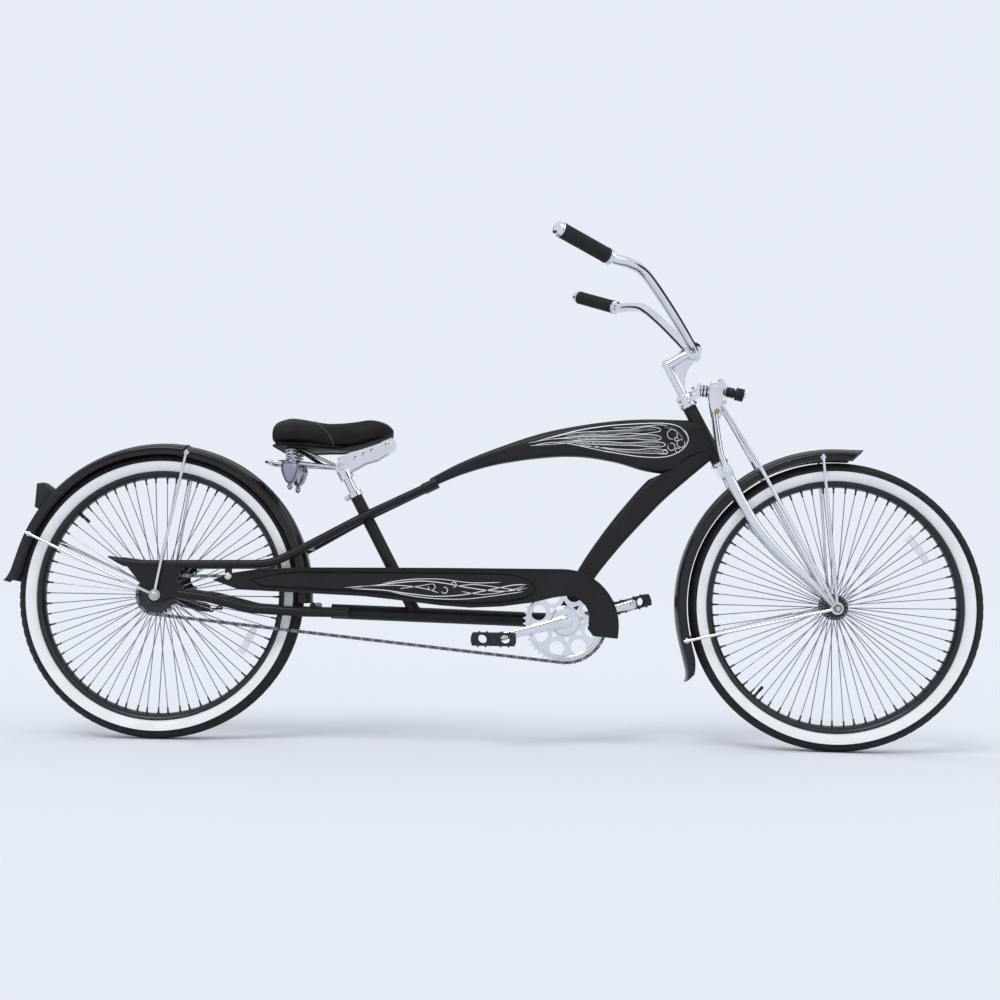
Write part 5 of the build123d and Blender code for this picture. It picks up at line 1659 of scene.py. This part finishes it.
        for side in (-1, 1):
            dark.nut(Vector((1283.0, 0.0, 446.0)) + ACROSS * (side * 34.0), ACROSS * side, 11.0, 5.0)
        dark.piece("fork_dark_nuts", Body.FORK, "chrome", [COPPER, BLACK_STEEL], STEERING.shown())
        arch = Shape()
        for side in (-1, 1):
            row = smooth_row(list(self.arch), 6)
            arch.tube([Vector((x, side * self.arch_y, z)) for x, z in row], 2.6, 12)
        lean = circle_point(1.0, self.spring_lean)
        arch.turned([(6.5, 0.0), (7.0, 1.0), (7.0, 6.0), (6.0, 7.0)], self.along(-9.0), lean, 6)
        arch.piece("yoke_arch", Body.FORK, "chrome", [CHROME], STEERING.shown())

    def beads(self) -> None:
        """Round the edges of the yoke's two side plates."""
        shape = Shape()
        for side in (-1, 1):
            edge = [Vector((x, self.yoke_y * side, z)) for x, z in self.yoke]
            shape.tube(edge, self.bead_r, 8, closed=True)
        shape.piece("yoke_edges", Body.FORK, "chrome", [CHROME], STEERING.shown())

    def build(self) -> None:
        """Build the fork's pieces."""
        self.blades()
        self.coil()
        self.nuts()
        self.beads()


@dataclass
class Cockpit:
    """The grips, the handlebar, and the stem's web and bolts. Sizes are in millimetres, straight ahead."""

    stem_up: float = 258.0
    stem_forward: float = 69.0
    grip_inner: Row = (-183.0, 294.0, 155.0)
    grip_outer: Row = (-286.0, 373.0, 198.0)
    # forward, to the side and up from the clamp, along half the bar
    bend: tuple[Row, ...] = (
        (0, 0, 0), (0, 24, -2), (-4, 46, 1), (-30, 92, 38), (-72, 155, 92), (-114, 218, 138),
        (-145, 259, 151), (-183, 294, 156), (-234, 333, 176.5), (-286, 373, 198),
    )
    bar_r: float = 11.1
    # up the steering axis and forward of it, round the web in the stem's corner
    web: tuple[Row, ...] = (
        (264, 2), (266, 24), (272, 44), (279, 60), (276, 74), (242, 74), (234, 58), (228, 44),
        (216, 28), (196, 14), (190, 6), (225, 0),
    )
    # distance from the middle, and how large the web's outline is there
    web_rounding: tuple[Row, ...] = (
        (-6.0, 0.90), (-5.0, 0.97), (-3.0, 1.0), (3.0, 1.0), (5.0, 0.97), (6.0, 0.90),
    )
    grip_start: float = 14.0
    ribs: int = 30
    # radius and distance along a grip: its foot, then a rib by shares of the pitch
    grip_foot: tuple[Row, ...] = ((13.5, 0.0), (16.6, 0.2), (17.0, 1.2), (17.0, 4.0), (15.8, 5.0))
    rib: tuple[Row, ...] = ((15.6, 0.0), (16.5, 0.25), (16.5, 0.6), (15.6, 0.85))
    # radius and distance out from a grip's outer end, and from its inner end
    cap: tuple[Row, ...] = (
        (14.0, 0.3), (16.2, 0.6), (16.6, 2.0), (16.2, 3.4), (14.6, 4.0), (14.6, 10.0), (13.8, 12.6),
        (10.0, 14.2), (3.0, 14.8),
    )
    collar: tuple[Row, ...] = (
        (13.0, -0.3), (16.2, -0.6), (16.6, -2.0), (15.4, -3.2), (14.2, -4.6), (14.2, -8.0),
        (15.6, -9.4), (15.6, -10.8), (12.0, -12.0),
    )
    # radius and distance out, round the clamp's two edges
    clamp_ring: tuple[Row, ...] = ((18.0, 0.0), (19.6, 0.8), (19.6, 3.2), (18.0, 4.0))

    def grips(self) -> None:
        """Build both ribbed grips with their chrome collars and caps."""
        clamp = STEERING.point(self.stem_up, self.stem_forward)
        for name, side in (("right", -1), ("left", 1)):
            mirror = Vector((1.0, side, 1.0))
            inner = clamp + Vector(self.grip_inner) * mirror
            outer = clamp + Vector(self.grip_outer) * mirror
            out = (outer - inner).normalized()
            start = inner + out * self.grip_start
            length = (outer - start).length
            profile = list(self.grip_foot)
            pitch = (length - 11.0) / self.ribs
            for number in range(self.ribs):
                profile += [(radius, 5.5 + number * pitch + pitch * share) for radius, share in self.rib]
            profile += [(16.8, length - 4.4), (17.0, length - 2.0), (16.0, length)]
            shape = Shape()
            shape.turned(profile, start, out, 32)
            shape.piece(
                "grip_ribbed_" + name, Body.FORK, "grip_rubber", [GRIP], STEERING.shown(), ("grip_" + name,),
            )
            trim = Shape()
            trim.turned(list(self.cap), outer, out, 32)
            trim.turned(list(self.collar), start, out, 32)
            up = (Vector((0.0, 0.0, 1.0)) - out * out.z).normalized()
            for way in (-1, 1):
                trim.dome(start - out * 6.2 + up * (way * 13.6), up * way, 4.4, 4.6)
            trim.piece(
                "grip_trim_" + name, Body.FORK, "chrome", [CHROME], STEERING.shown(), ("grip_cap_" + name,),
            )

    def bar(self) -> None:
        """Bend the handlebar in long smooth curves, and web the stem's corner."""
        clamp = STEERING.point(self.stem_up, self.stem_forward)
        half = [clamp + Vector(row) for row in smooth_row(list(self.bend), 8)]
        path = [Vector((p.x, -p.y, p.z)) for p in reversed(half[1:])] + half
        shape = Shape()
        shape.tube(path, self.bar_r, 24)
        shape.piece("handlebar_smooth", Body.FORK, "chrome", [CHROME], STEERING.shown(), ("handlebar",))
        web = Shape()
        outline = smooth_row(list(self.web), 5)
        mid_up = sum(up for up, _ in outline) / len(outline)
        mid_ahead = sum(ahead for _, ahead in outline) / len(outline)
        rings = []
        for y, shrink in self.web_rounding:
            rings.append([
                STEERING.point(mid_up + (up - mid_up) * shrink, mid_ahead + (ahead - mid_ahead) * shrink, y)
                for up, ahead in outline
            ])
        web.skin(rings)
        web.piece("stem_web", Body.FORK, "chrome", [CHROME], STEERING.shown())

    def bolts(self) -> None:
        """Build the stem's bolts."""
        shape = Shape()
        up = STEERING.axis()
        top = STEERING.point(self.stem_up + 3.0, 0.0)
        shape.turned([(11.4, 0.0), (11.4, 1.4), (10.4, 2.6)], top, up, 28)
        shape.turned([(6.5, 0.0), (6.5, 6.0), (5.6, 7.0)], top + up * 1.5, up, 24)
        clamp = STEERING.point(self.stem_up, self.stem_forward)
        low = clamp - up * 21.0
        shape.box(low, ACROSS, up, (26.0, 14.0, 9.0))
        shape.nut(low - ACROSS * 13.0, -ACROSS, 10.0, 5.4)
        shape.dome(low + ACROSS * 13.0, ACROSS, 5.6, 5.0)
        for side in (-1, 1):
            foot = clamp + ACROSS * (side * 19.0)
            shape.turned(list(self.clamp_ring), foot, ACROSS * side, 36)
        shape.piece("stem_bolts", Body.FORK, "chrome", [CHROME], STEERING.shown())

    def build(self) -> None:
        """Build the grips, the bar, the stem's web and its bolts."""
        self.grips()
        self.bar()
        self.bolts()


@dataclass
class Saddle:
    """The padded saddle and what carries it. Sizes are in millimetres."""

    # x, z of the top, z of the underside, half width
    sections: tuple[Row, ...] = (
        (255, 384, 352, 58), (262, 404, 348, 92), (280, 412, 347, 106), (300, 414, 346, 110),
        (325, 412, 346, 106), (350, 408, 345, 96), (380, 405, 344, 74), (410, 407, 343, 55),
        (440, 411, 348, 42), (470, 416, 357, 37), (498, 417, 367, 32), (518, 412, 375, 26),
        (533, 400, 381, 18),
    )
    # x and z down each side of the cushion's seam
    seam: tuple[Row, ...] = (
        (362, 397), (369, 392), (376, 386), (384, 379), (390, 371), (394, 362), (397, 354), (398, 349),
    )
    margin: float = 4.2
    voxel: float = 5.0
    puff_cap: float = 4.2
    frames: int = 20
    # radius and distance down, from the top of a spring's can to the end of its knob
    can: tuple[Row, ...] = (
        (18, 0), (20, 0.5), (20.6, 3), (19.6, 4.4), (21.4, 6), (22, 12), (21.6, 18), (19.4, 26),
        (16.2, 34), (12.8, 42), (10, 46.4), (6, 48.4), (5, 50), (5.4, 53), (6.5, 57), (5.6, 61),
        (3, 64), (0.8, 65),
    )
    # x, z round the arm under the nose, and of its holes
    arm: tuple[Row, ...] = (
        (402, 326), (416, 296), (434, 294), (466, 313), (496, 322), (520, 338), (520, 372), (503, 371),
    )
    arm_holes: tuple[Row, ...] = ((444, 326), (463, 335), (482, 344))
    arm_y: float = 8.7
    arm_hole_r: float = 4.4
    arm_bead_r: float = 1.2
    bullet_x: float = 300.0
    bullet_y: float = 50.0

    def block(self) -> Shape:
        """Build the cushion's plain closed form.

        Returns:
            The form, a little smaller than the finished cushion.
        """
        shape = Shape()
        rings = []
        for x, top, low, half in smooth_row(list(self.sections), 5):
            edge = low + (top - low) * 0.30
            ring = []
            for step in range(36):
                a = math.tau * step / 36
                c, s = math.cos(a), math.sin(a)
                y = math.copysign(abs(c) ** 0.75, c) * (half - self.margin)
                reach = (top - self.margin - edge) if s > 0 else (edge - low - 1.0)
                z = edge + math.copysign(abs(s) ** (0.85 if s > 0 else 0.6), s) * reach
                ring.append(Vector((x, y, z)))
            rings.append(ring)
        shape.skin(rings)
        return shape

    def puffed(self, piece: bpy.types.Object) -> None:
        """Fill the cushion: simulate its cover under pressure and keep the result.

        Args:
            piece: the cushion's plain form.
        """
        shell = piece.modifiers.new("even", "REMESH")
        shell.mode = "VOXEL"
        shell.voxel_size = self.voxel * MM
        self.keep(piece)
        rest = [vertex.co.copy() for vertex in piece.data.vertices]
        cloth = piece.modifiers.new("cover", "CLOTH")
        cloth.settings.use_pressure = True
        cloth.settings.uniform_pressure_force = 4.0
        cloth.settings.effector_weights.gravity = 0.0
        scene = bpy.context.scene
        for number in range(1, self.frames + 1):
            scene.frame_set(number)
        self.keep(piece)
        scene.frame_set(1)
        cap = self.puff_cap * MM
        for vertex, start in zip(piece.data.vertices, rest):
            move = vertex.co - start
            if move.length > cap:
                vertex.co = start + move.normalized() * cap
        smooth = piece.modifiers.new("smooth", "SUBSURF")
        smooth.levels = smooth.render_levels = 1
        self.keep(piece)

    def keep(self, piece: bpy.types.Object) -> None:
        """Turn an object's modifiers into its mesh."""
        seen = piece.evaluated_get(bpy.context.evaluated_depsgraph_get())
        shaped = bpy.data.meshes.new_from_object(seen)
        piece.modifiers.clear()
        piece.data = shaped

    def side_hit(self, tree: BVHTree, x: float, z: float, side: int) -> Vector | None:
        """Find where the cushion's side is at a place (x, z), if it reaches there."""
        return tree.ray_cast(Vector((x, RAY_START * side, z)), Vector((0.0, -side, 0.0)))[0]

    def seam_line(self, tree: BVHTree) -> list[Vector]:
        """Lay the seam over the cushion, up its right side and down its left."""
        seam = []
        for side in (-1, 1):
            half = []
            for y in (0.0, 14.0, 28.0, 40.0)[0 if side < 0 else 1:]:
                above = Vector((351.0 + y * y / 600.0, y * side, 600.0))
                half.append(tree.ray_cast(above, Vector((0.0, 0.0, -1.0)))[0])
            half += [self.side_hit(tree, x, z, side) for x, z in self.seam]
            half = [hit for hit in half if hit]
            seam = half[::-1] if side < 0 else seam + half
        return seam

    def rim_line(self, tree: BVHTree) -> list[Vector]:
        """Lay the piping round the cushion's lower edge, all the way round."""
        stations = smooth_row(list(self.sections), 3)
        rim = []
        for side in (-1, 1):
            for x, _, low, _ in stations if side < 0 else reversed(stations):
                edge = low + 5.0
                hit = self.side_hit(tree, x, edge, side)
                if hit:
                    rim.append(Vector((x, hit.y, edge)))
        return rim

    def cushion(self) -> None:
        """Build the cushion with its piping, seam and skirt."""
        piece = self.block().bare("saddle_cover", BIKE)
        self.puffed(piece)
        piece.data.polygons.foreach_set("use_smooth", [True] * len(piece.data.polygons))
        dress(piece, Body.FRAME, [VINYL], ("saddle_cushion",))
        back = BIKE.inverted()
        points = [back @ vertex.co for vertex in piece.data.vertices]
        tree = BVHTree.FromPolygons(points, [tuple(polygon.vertices) for polygon in piece.data.polygons])
        seam, rim = self.seam_line(tree), self.rim_line(tree)
        trim = Shape()
        trim.tube([Vector(row) for row in smooth_row([tuple(point) for point in seam], 3)], 1.4, 8, 1)
        trim.tube(rim, 1.7, 8, closed=True)
        trim.piece("saddle_piping", Body.FRAME, "saddle_vinyl", [PIPING, SEAM_VINYL])
        skirt = Shape()
        rings = []
        for point in rim:
            inward = Vector((0.0, -math.copysign(1.0, point.y), 0.0))
            low = point + inward * 1.0 - Vector((0.0, 0.0, 9.0))
            rings.append([point + inward * 0.4, low, low + inward * 2.4, point + inward * 2.8])
        skirt.skin(rings, closed=True)
        skirt.piece("saddle_skirt", Body.FRAME, "saddle_vinyl", [PIPING])

    def springs(self) -> None:
        """Wind the two coils between the pan and the wire loop, and build their fluted cans."""
        shape = Shape()
        low, high, turns, steps = 313.0, 341.0, 4, 18
        for side in (-1, 1):
            path = []
            for step in range(turns * steps + 1):
                spot = circle_point(10.4, 360.0 * step / steps)
                z = low + (high - low) * step / (turns * steps)
                path.append(Vector((self.bullet_x + spot.x, self.bullet_y * side + spot.z, z)))
            shape.tube(path, 2.3, 10)
            centre = Vector((self.bullet_x, self.bullet_y * side, low - 3.0))
            shape.turned([(5.0, 0.0), (5.0, 34.0)], centre, Vector((0.0, 0.0, 1.0)), 16)
        shape.piece("saddle_coils", Body.FRAME, "chrome", [CHROME], replaces=("saddle_springs",))
        cans = Shape()
        for side in (-1, 1):
            top = Vector((self.bullet_x, self.bullet_y * side, 310.5))
            cans.turned(list(self.can), top, Vector((0.0, 0.0, -1.0)), 40)
            for step in range(12):
                foot = circle_point(1.0, 30.0 * step)
                out = Vector((foot.x, foot.z, 0.0))
                rows = [(21.4, 10.0), (21.6, 18.0), (19.2, 26.0), (16.0, 34.0), (12.6, 41.5)]
                cans.tube([top + out * radius - Vector((0.0, 0.0, down)) for radius, down in rows], 1.0, 6)
        cans.piece("saddle_cans", Body.FRAME, "chrome", [SMOKED], replaces=("saddle_bullets",))

    def carriers(self) -> None:
        """Build the clamp's toothed discs, the roller's heads and the struts under the saddle."""
        chrome = Shape()
        for side in (-1, 1):
            out = ACROSS * side
            centre = Vector((412.0, 0.0, 303.0)) + out * 15.0
            teeth = []
            for step in range(48):
                radius = 14.5 if step % 2 else 13.2
                teeth.append(centre + circle_point(radius, 7.5 * step))
            chrome.slab(teeth, out * 5.0)
            chrome.nut(centre + out * 5.0, out, 14.0, 7.0)
            chrome.dome(centre + out * 11.6, out, 4.6, 2.4)
            chrome.dome(Vector((520.0, 0.0, 357.0)) + out * 13.0, out, 8.0, 3.2)
            start, end = Vector((322.0, 30.0 * side, 341.0)), Vector((398.0, 14.0 * side, 308.0))
            chrome.tube([start, end], 3.2, 12)
        chrome.piece("saddle_clamp_discs", Body.FRAME, "chrome", [CHROME])
        dark = Shape()
        for side in (-1, 1):
            start, end = Vector((318.0, 40.0 * side, 338.0)), Vector((372.0, 20.0 * side, 305.0))
            axis = (end - start).normalized()
            across = axis.orthogonal().normalized()
            up = axis.cross(across)
            for phase in (0.0, math.pi):
                path = []
                for step in range(49):
                    a = phase + math.tau * 4 * step / 48
                    path.append(start.lerp(end, step / 48) + (across * math.cos(a) + up * math.sin(a)) * 2.4)
                dark.tube(path, 2.3, 8)
            along, upward = Vector((1.0, 0.0, 0.0)), Vector((0.0, 0.0, 1.0))
            dark.box(Vector((312.0, 34.0 * side, 341.0)), along, upward, (22.0, 14.0, 3.0))
        dark.piece("saddle_struts", Body.FRAME, "chrome", [BLACK_STEEL])

    def arm_edges(self) -> None:
        """Round the edges of the arm under the nose and of its holes."""
        shape = Shape()
        for side in (-1, 1):
            face = ACROSS * (self.arm_y * side)
            shape.tube([Vector((x, 0.0, z)) + face for x, z in self.arm[:-1]], self.arm_bead_r, 8)
            for x, z in self.arm_holes:
                hole = Vector((x, 0.0, z)) + face
                ring = [hole + circle_point(self.arm_hole_r, 15.0 * step) for step in range(24)]
                shape.tube(ring, self.arm_bead_r * 0.7, 8, closed=True)
        shape.piece("saddle_arm_edges", Body.FRAME, "chrome", [CHROME])

    def build(self) -> None:
        """Build the saddle's pieces."""
        self.cushion()
        self.springs()
        self.carriers()
        self.arm_edges()


# The nodes that keep their shape, by finish
DRESSED_NODES: tuple[tuple[Finish, tuple[str, ...]], ...] = (
    (PAINT, (
        "head_tube", "lower_tube", "upper_rails", "seat_tube", "chain_stays", "dropouts", "chain_guard",
        "frame_bridges", "guard_brackets",
    )),
    # the saddle's pan is black, and painted shade makes it darker still for its shaded underside
    (SHADE_BLACK, ("saddle_pan",)),
    (CHROME, (
        "headset_cups", "crank_cups", "rear_fender_stays", "seat_post", "seat_collar", "saddle_clamp",
        "saddle_arm", "saddle_loop", "steerer", "headset_nut", "fork_yoke", "fork_struts", "fork_bolts",
        "front_fender_stays", "stem", "chainring",
    )),
    (ZINC, ("rear_axle", "front_axle", "pedal_spindles")),
    (BLACK_STEEL, ("rear_sprocket",)),
    (PLASTIC, ("pedal_right", "pedal_left")),
)


def dress_nodes(nodes: dict[str, bpy.types.Object]) -> None:
    """Give each node that keeps its shape its finish.

    Args:
        nodes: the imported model's objects by name.
    """
    for finish, names in DRESSED_NODES:
        for name in names:
            for slot in nodes[name].material_slots:
                slot.material = finish.material()
        log.info("%s: %d nodes", finish.name, len(names))


@dataclass(frozen=True)
class Lens:
    """The camera that took the picture, in metres and degrees.

    Args:
        place: where it stands in the bicycle's frame.
        yaw: turn to the left of straight across the bicycle.
        pitch: tilt upward.
        roll: tilt of the picture, as the horizon shows it.
        focal_px: focal length, in pixels of the picture.
        picture_px: width of the picture.
        sensor_mm: width of the sensor.
    """

    place: Row = (0.453, -2.891, -0.388)
    yaw: float = -1.30
    pitch: float = 4.27
    roll: float = -1.01
    focal_px: float = 1245.0
    picture_px: float = 1000.0
    sensor_mm: float = 36.0

    def axes(self) -> Matrix:
        """Work out the camera's own axes.

        Returns:
            A matrix whose columns are the camera's right, up and backward directions.
        """
        yaw, pitch, roll = (math.radians(a) for a in (self.yaw, self.pitch, self.roll))
        ahead = Vector((math.sin(yaw) * math.cos(pitch), math.cos(yaw) * math.cos(pitch), math.sin(pitch)))
        right = Vector((math.cos(yaw), -math.sin(yaw), 0.0))
        down = ahead.cross(right)
        picture_x = math.cos(roll) * right + math.sin(roll) * down
        picture_y = -math.sin(roll) * right + math.cos(roll) * down
        return Matrix((picture_x, -picture_y, -ahead)).transposed()

    def build(self) -> bpy.types.Object:
        """Put the camera in the scene.

        Returns:
            The camera's object.
        """
        data = bpy.data.cameras.new("camera")
        data.sensor_width = self.sensor_mm
        data.lens = self.focal_px * self.sensor_mm / self.picture_px
        camera = bpy.data.objects.new("camera", data)
        bpy.context.scene.collection.objects.link(camera)
        camera.matrix_world = Matrix.Translation(self.place) @ self.axes().to_4x4()
        bpy.context.scene.camera = camera
        return camera


@dataclass
class Studio:
    """A wide pale floor, a pale sky, two soft lamps and dark panels. Sizes are in metres."""

    floor_z: float
    reach: float = 60.0
    backdrop: Row = (0.80, 0.845, 0.93)
    floor_colour: Row = (0.83, 0.87, 0.925)
    sky_strength: float = 0.72
    # degrees round from straight ahead of the bicycle
    panel_angles: tuple[float, ...] = (28.0, 152.0)
    panel_colour: Row = (0.02, 0.02, 0.022)
    panel_reach: float = 7.0
    panel_width: float = 7.2
    panel_low: float = 0.35
    panel_high: float = 4.2
    strip_reach: float = 5.0
    strip_width: float = 8.0
    strip_low: float = 2.5
    strip_high: float = 4.1
    # the floor's roughness, the size of its faint clouds and their two shades
    floor_rough: float = 0.9
    cloud_scale: float = 3.0
    cloud_shades: tuple[float, float] = (0.99, 1.0)
    sky_colour: Row = (0.93, 0.95, 1.0)
    # name, which way it shines, how wide it looks in degrees, and strength
    suns: tuple[tuple, ...] = (
        ("key", (0.45, 1.0, -1.35), 28.0, 0.95),
        ("fill", (-0.8, 0.5, -0.7), 50.0, 0.35),
    )

    def floor(self) -> bpy.types.Object:
        """Lay the floor.

        Returns:
            The floor's object.
        """
        corners = ((-1, -1), (1, -1), (1, 1), (-1, 1))
        mesh = bpy.data.meshes.new("floor")
        points = [(x * self.reach, y * self.reach, self.floor_z) for x, y in corners]
        mesh.from_pydata(points, [], [(0, 1, 2, 3)])
        floor = bpy.data.objects.new("floor", mesh)
        bpy.context.scene.collection.objects.link(floor)
        material = bpy.data.materials.new("floor")
        material.use_nodes = True
        nodes, links = material.node_tree.nodes, material.node_tree.links
        shader = nodes["Principled BSDF"]
        shader.inputs["Roughness"].default_value = self.floor_rough
        shader.inputs["Specular IOR Level"].default_value = 0.0
        cloud = nodes.new("ShaderNodeTexNoise")
        cloud.inputs["Scale"].default_value = self.cloud_scale
        tones = nodes.new("ShaderNodeValToRGB")
        for element, shade in zip(tones.color_ramp.elements, self.cloud_shades):
            element.color = (*(channel * shade for channel in self.floor_colour), 1.0)
        links.new(nodes.new("ShaderNodeTexCoord").outputs["Object"], cloud.inputs["Vector"])
        links.new(cloud.outputs["Fac"], tones.inputs["Fac"])
        links.new(tones.outputs["Color"], shader.inputs["Base Color"])
        mesh.materials.append(material)
        return floor

    def sun(self, name: str, toward: Vector, spread: float, power: float) -> None:
        """Add one broad soft lamp that lights all places alike.

        Args:
            name: the lamp's name.
            toward: which way it shines.
            spread: how wide it looks, in degrees.
            power: its strength.
        """
        data = bpy.data.lights.new(name, "SUN")
        data.angle = math.radians(spread)
        data.energy = power
        lamp = bpy.data.objects.new(name, data)
        lamp.rotation_euler = toward.to_track_quat("-Z", "Y").to_euler()
        bpy.context.scene.collection.objects.link(lamp)

    def panels(self) -> list[bpy.types.Object]:
        """Stand dark panels round the bicycle and over it, which only reflections show.

        Returns:
            The panels' objects.
        """
        material = bpy.data.materials.new("panel")
        material.use_nodes = True
        shader = material.node_tree.nodes["Principled BSDF"]
        shader.inputs["Base Color"].default_value = (*self.panel_colour, 1.0)
        shader.inputs["Roughness"].default_value = 1.0
        panels = []
        for number, angle in enumerate(self.panel_angles):
            out, along = circle_point(1.0, angle), circle_point(1.0, angle + 90.0)
            out, along = Vector((out.x, out.z, 0.0)), Vector((along.x, along.z, 0.0))
            side = along * self.panel_width / 2
            foot, span = out * self.panel_reach, (self.panel_low, self.panel_high)
            panels.append(self.panel(f"panel_{number}", foot, side, span, material))
        for name, way in (("strip_right", -1.0), ("strip_left", 1.0)):
            foot, side = ACROSS * (way * self.strip_reach), Vector((self.strip_width / 2, 0.0, 0.0))
            panels.append(self.panel(name, foot, side, (self.strip_low, self.strip_high), material))
        return panels

    def panel(
        self, name: str, foot: Vector, side: Vector, span: tuple[float, float], material: bpy.types.Material,
    ) -> bpy.types.Object:
        """Stand one dark panel.

        Args:
            name: the panel's name.
            foot: the middle of its foot, at the height of the frame's middle.
            side: half its width, and which way it runs.
            span: its lower and its upper edge, up from the floor.
            material: its material.

        Returns:
            The panel's object.
        """
        low, high = (Vector((0.0, 0.0, self.floor_z + up)) for up in span)
        corners = [foot - side + low, foot + side + low, foot + side + high, foot - side + high]
        mesh = bpy.data.meshes.new(name)
        mesh.from_pydata(corners, [], [(0, 1, 2, 3)])
        mesh.materials.append(material)
        panel = bpy.data.objects.new(name, mesh)
        bpy.context.scene.collection.objects.link(panel)
        panel.visible_camera = panel.visible_diffuse = False
        panel.visible_shadow = panel.visible_transmission = False
        return panel

    def world(self) -> None:
        """Light everything evenly from a pale sky that also stands behind the bicycle."""
        world = bpy.data.worlds.new("sky")
        world.use_nodes = True
        nodes, links = world.node_tree.nodes, world.node_tree.links
        light = nodes["Background"]
        light.inputs["Color"].default_value = (*self.sky_colour, 1.0)
        light.inputs["Strength"].default_value = self.sky_strength
        seen = nodes.new("ShaderNodeBackground")
        seen.inputs["Color"].default_value = (*self.backdrop, 1.0)
        seen.inputs["Strength"].default_value = 1.0
        rays = nodes.new("ShaderNodeLightPath")
        mirror = nodes.new("ShaderNodeMath")
        mirror.operation = "ADD"
        links.new(rays.outputs["Is Glossy Ray"], mirror.inputs[0])
        links.new(rays.outputs["Is Transmission Ray"], mirror.inputs[1])
        either = nodes.new("ShaderNodeMath")
        either.operation = "ADD"
        either.use_clamp = True
        links.new(rays.outputs["Is Camera Ray"], either.inputs[0])
        links.new(mirror.outputs["Value"], either.inputs[1])
        mix = nodes.new("ShaderNodeMixShader")
        links.new(either.outputs["Value"], mix.inputs["Fac"])
        links.new(light.outputs["Background"], mix.inputs[1])
        links.new(seen.outputs["Background"], mix.inputs[2])
        links.new(mix.outputs["Shader"], nodes["World Output"].inputs["Surface"])
        bpy.context.scene.world = world

    def build(self) -> None:
        """Build the floor, the panels, the sky and the lamps."""
        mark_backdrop(self.floor(), *self.panels())
        self.world()
        for name, toward, spread, power in self.suns:
            self.sun(name, Vector(toward), spread, power)
        bpy.context.scene.view_settings.view_transform = "Standard"


def build_wheels() -> None:
    """Build both wheels."""
    Wheel(
        end="rear", body=Body.REAR_WHEEL, place=BIKE, flange_y=29.0, hub_half=54.0,
        valve_angle=137.0, reflector_angle=-26.0,
    ).build()
    Wheel(
        end="front", body=Body.FRONT_WHEEL, place=STEERING.shown() @ Matrix.Translation(STEERING.axle()),
        flange_y=30.0, hub_half=44.0, valve_angle=230.0, reflector_angle=36.0,
    ).build()


def build_fenders() -> None:
    """Build the mudguards."""
    Fender(
        name="rear_fender", body=Body.FRAME, place=BIKE, radius=354.0, half_w=37.0,
        arc=(82, 163, 0, 50, 70, 24), stays=(80.6, 156.0), slopes=(0.0, 0.45),
    ).build()
    Fender(
        name="rear_fender_front", body=Body.FRAME, place=BIKE, radius=351.7, half_w=34.7,
        arc=(2, 84, 24, 0, 0, 0), stays=(),
    ).build()
    Fender(
        name="front_fender", body=Body.FORK, place=STEERING.shown() @ Matrix.Translation(STEERING.axle()),
        radius=362.0, half_w=37.0, arc=(88, 194, 50, 62, 70, 26), stays=(95.0, 194.0), slopes=(1.0, 1.0),
    ).build()


def main() -> None:
    """Dress the bicycle and set up its picture."""
    logging.basicConfig(level=logging.INFO, format="%(message)s")
    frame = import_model()
    cad_box = [list(corner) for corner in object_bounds()]
    dress_nodes(frame["nodes"])
    build_wheels()
    Drive().build()
    Frame().build()
    Guard().build()
    build_fenders()
    TailLamp().build()
    Fork().build()
    Cockpit().build()
    Saddle().build()
    Lens().build()
    Studio(floor_z=cad_box[0][2]).build()


if __name__ == "__main__":
    main()
